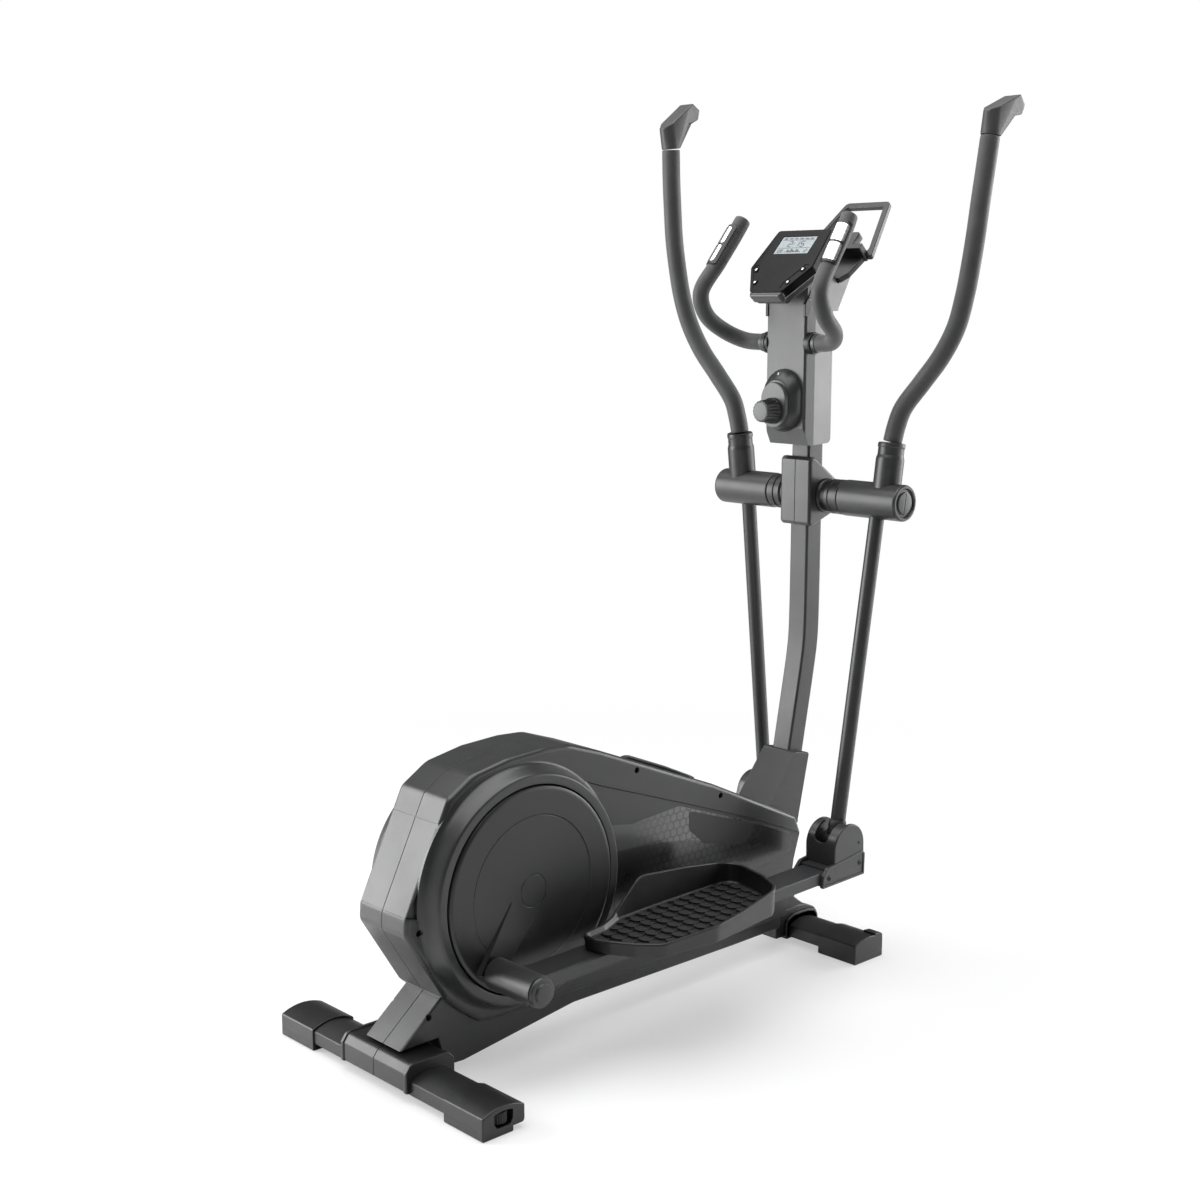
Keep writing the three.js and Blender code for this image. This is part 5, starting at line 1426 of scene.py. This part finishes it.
def rear_cap(side, word):
    x, reach = LEVELLER[0], REAR_BAR["reach"]
    cap = end_cap(REAR_BAR, side, 20)
    window = rounded([(x - 14, 14.8, 8), (x + 14, 14.8, 8), (x + 19, 24, 8), (x + 19, 39, 2.5),
                      (x, 41.6, 40),
                      (x - 19, 39, 2.5), (x - 19, 24, 8)])
    carve(cap, prism(window, "XZ", *span(side, reach - 38, reach + 4)))
    settle(cap, f"rear_end_{word}", MACHINE, "frame", "black", "black_plastic", f"rear_cap_{word}")
    levels = [(4.4, 1.2), (9.4, 1.2), (10, 2), (10, 5), (4.4, 6), (4.4, 18.4), (15.6, 18.4), (16.9, 19.4),
              (16.9, 36.6), (15.6, 37.6)]
    settle(fluted_wheel(x, side * 262, levels), f"leveller_wheel_{word}", MACHINE, f"leveller_{word}",
           "rubber",
           "black_plastic", f"leveller_{word}", crease=30)


def front_cap(side, word):
    x, reach = FRONT_BAR["x"], FRONT_BAR["reach"]
    cap = end_cap(FRONT_BAR, side, 43)
    lip = rounded([(x + 14, 30), (x + 42.8, 30), (x + 42.4, 45.6, 4), (x + 36, 49.2, 4), (x + 19, 51.2, 3)])
    fuse(cap, soft_slab(lip, "XZ", *span(side, reach - 30, reach - 0.3), 1.8))
    carve(cap, box((x + 9.5, x + 60), span(side, 169, 187), (-5, 33.5)))
    settle(cap, f"front_end_{word}", MACHINE, "frame", "black", "black_plastic", f"front_cap_{word}")
    tread = [(3.6, -8), (13.2, -8), (14.5, -6.8), (14.5, -3), (13.8, -2.2), (13.8, 2.2), (14.5, 3),
             (14.5, 6.8),
             (13.2, 8), (3.6, 8)]
    wheel = turned(tread, "Y", (ROLLER[0], side * 178, ROLLER[1]), 48)
    settle(wheel, f"roller_wheel_{word}", MACHINE, f"roller_{word}", "rubber", "rubber",
           f"transport_roller_{word}")


# Pieces mostly out of sight keep their CAD mesh and only get a surface.
INSIDE = {
    "drive_belt": "rubber", "flywheel_axle": "steel", "tension_cable": "rubber", "pivot_axle": "steel",
    "fixed_handlebar": "coat", "brake_bracket": "steel", "flywheel": "iron", "crank_axle": "steel",
    "drive_pulley": "black", "crank_bearing_left": "steel", "crank_bearing_right": "steel",
    "crank_arm_left": "steel", "crank_arm_right": "steel",
}


def taken_over():
    piece = refined("main_frame", 1.5)
    settle(piece, "frame_weldment", METRES, "frame", "coat", "powder_coat", "main_frame")
    for node, look in INSIDE.items():
        mesh = frame["nodes"][node].data
        mesh.materials.clear()
        mesh.materials.append(LOOKS[look])


for word, side in SIDES.items():
    housing(side, word)
    crank_disc(side, word)
    pedal_arm(side, word)
    pedal(side, word)
    knuckle_cover(side, word)
    swing_arm(side, word)
    pivot_parts(side, word)
    fixed_grips(side, word)
    rear_cap(side, word)
    front_cap(side, word)
stabiliser("rear_stabiliser", REAR_BAR)
stabiliser("front_stabiliser", FRONT_BAR)
mast()
boot()
casing()
knob_parts()
console_shell()
display()
console_keys()
tablet_rest()
saddles()
taken_over()

# ---------------------------------------------------------------- studio


def area_light(name, place, target, size, power):
    data = bpy.data.lights.new(name, "AREA")
    data.shape = "RECTANGLE"
    data.size, data.size_y = size
    data.energy = power
    light = bpy.data.objects.new(name, data)
    bpy.context.scene.collection.objects.link(light)
    light.location = place
    light.rotation_euler = (Vector(target) - Vector(place)).to_track_quat("-Z", "Y").to_euler()


def studio_floor():
    """A pale floor that fades to plain white away from the machine."""
    bm = bmesh.new()
    bmesh.ops.create_grid(bm, x_segments=2, y_segments=2, size=30)
    floor = blank(bm, "floor")
    ground = Nodes("studio_floor")
    ground.link(ground.mix(ground.noise(2, 2), (0.88, 0.88, 0.88), (0.92, 0.92, 0.92)),
                ground.shader.inputs["Base Color"])
    ground.shader.inputs["Roughness"].default_value = 0.30
    reach = ground.add("ShaderNodeVectorMath", operation="LENGTH")
    ground.link(ground.coordinates(), reach.inputs[0])
    away = ground.spread(reach.outputs["Value"], 0.45, 1, 0.6, 2.4)
    seen = ground.add("ShaderNodeLightPath").outputs["Is Camera Ray"]
    glow = ground.add("ShaderNodeEmission")
    blend = ground.add("ShaderNodeMixShader")
    ground.link(ground.math("MULTIPLY", away, seen), blend.inputs[0])
    ground.link(ground.shader.outputs[0], blend.inputs[1])
    ground.link(glow.outputs[0], blend.inputs[2])
    ground.link(blend.outputs[0], ground.tree.nodes["Material Output"].inputs["Surface"])
    floor.data.materials.append(ground.material)


def studio_world():
    world = bpy.data.worlds.new("studio_world")
    world.use_nodes = True
    tree = world.node_tree
    background = tree.nodes["Background"]
    background.inputs["Color"].default_value = (1, 1, 1, 1)
    seen = tree.nodes.new("ShaderNodeLightPath").outputs["Is Camera Ray"]
    strength = tree.nodes.new("ShaderNodeMapRange")
    strength.inputs["To Min"].default_value = WORLD_LIGHT
    strength.inputs["To Max"].default_value = WORLD_SEEN
    tree.links.new(seen, strength.inputs["Value"])
    tree.links.new(strength.outputs["Result"], background.inputs["Strength"])
    bpy.context.scene.world = world


def studio_lights():
    middle = (0, 0, 0.8)
    area_light("softbox_rear", (-2.6, 2.9, 1.5), middle, (2.6, 2.8), 190)
    area_light("softbox_top", (-0.3, 0.2, 3.7), middle, (4.0, 4.0), 175)
    area_light("softbox_front", (3.9, -1.4, 1.6), middle, (2.0, 2.8), 120)
    area_light("softbox_side", (2.5, -3.1, 0.9), (0, 0, 0.4), (2.4, 1.3), 22)
    bpy.context.scene.view_settings.view_transform = "Standard"


WORLD_LIGHT, WORLD_SEEN = 0.15, 1.0
CAMERA_PLACE = Vector((-1853, -2251, 1284))     # machine frame
CAMERA_HEADING = math.radians(46.96)
CAMERA_DROP = math.radians(9.75)
CAMERA_LENS = 52.83


def camera():
    data = bpy.data.cameras.new("camera")
    data.lens = CAMERA_LENS
    data.sensor_width = 36
    eye = bpy.data.objects.new("camera", data)
    bpy.context.scene.collection.objects.link(eye)
    eye.location = MACHINE @ CAMERA_PLACE
    ahead = Vector((math.cos(CAMERA_HEADING) * math.cos(CAMERA_DROP),
                    math.sin(CAMERA_HEADING) * math.cos(CAMERA_DROP), -math.sin(CAMERA_DROP)))
    eye.rotation_euler = ahead.to_track_quat("-Z", "Y").to_euler()
    bpy.context.scene.camera = eye


studio_floor()
studio_world()
studio_lights()
camera()
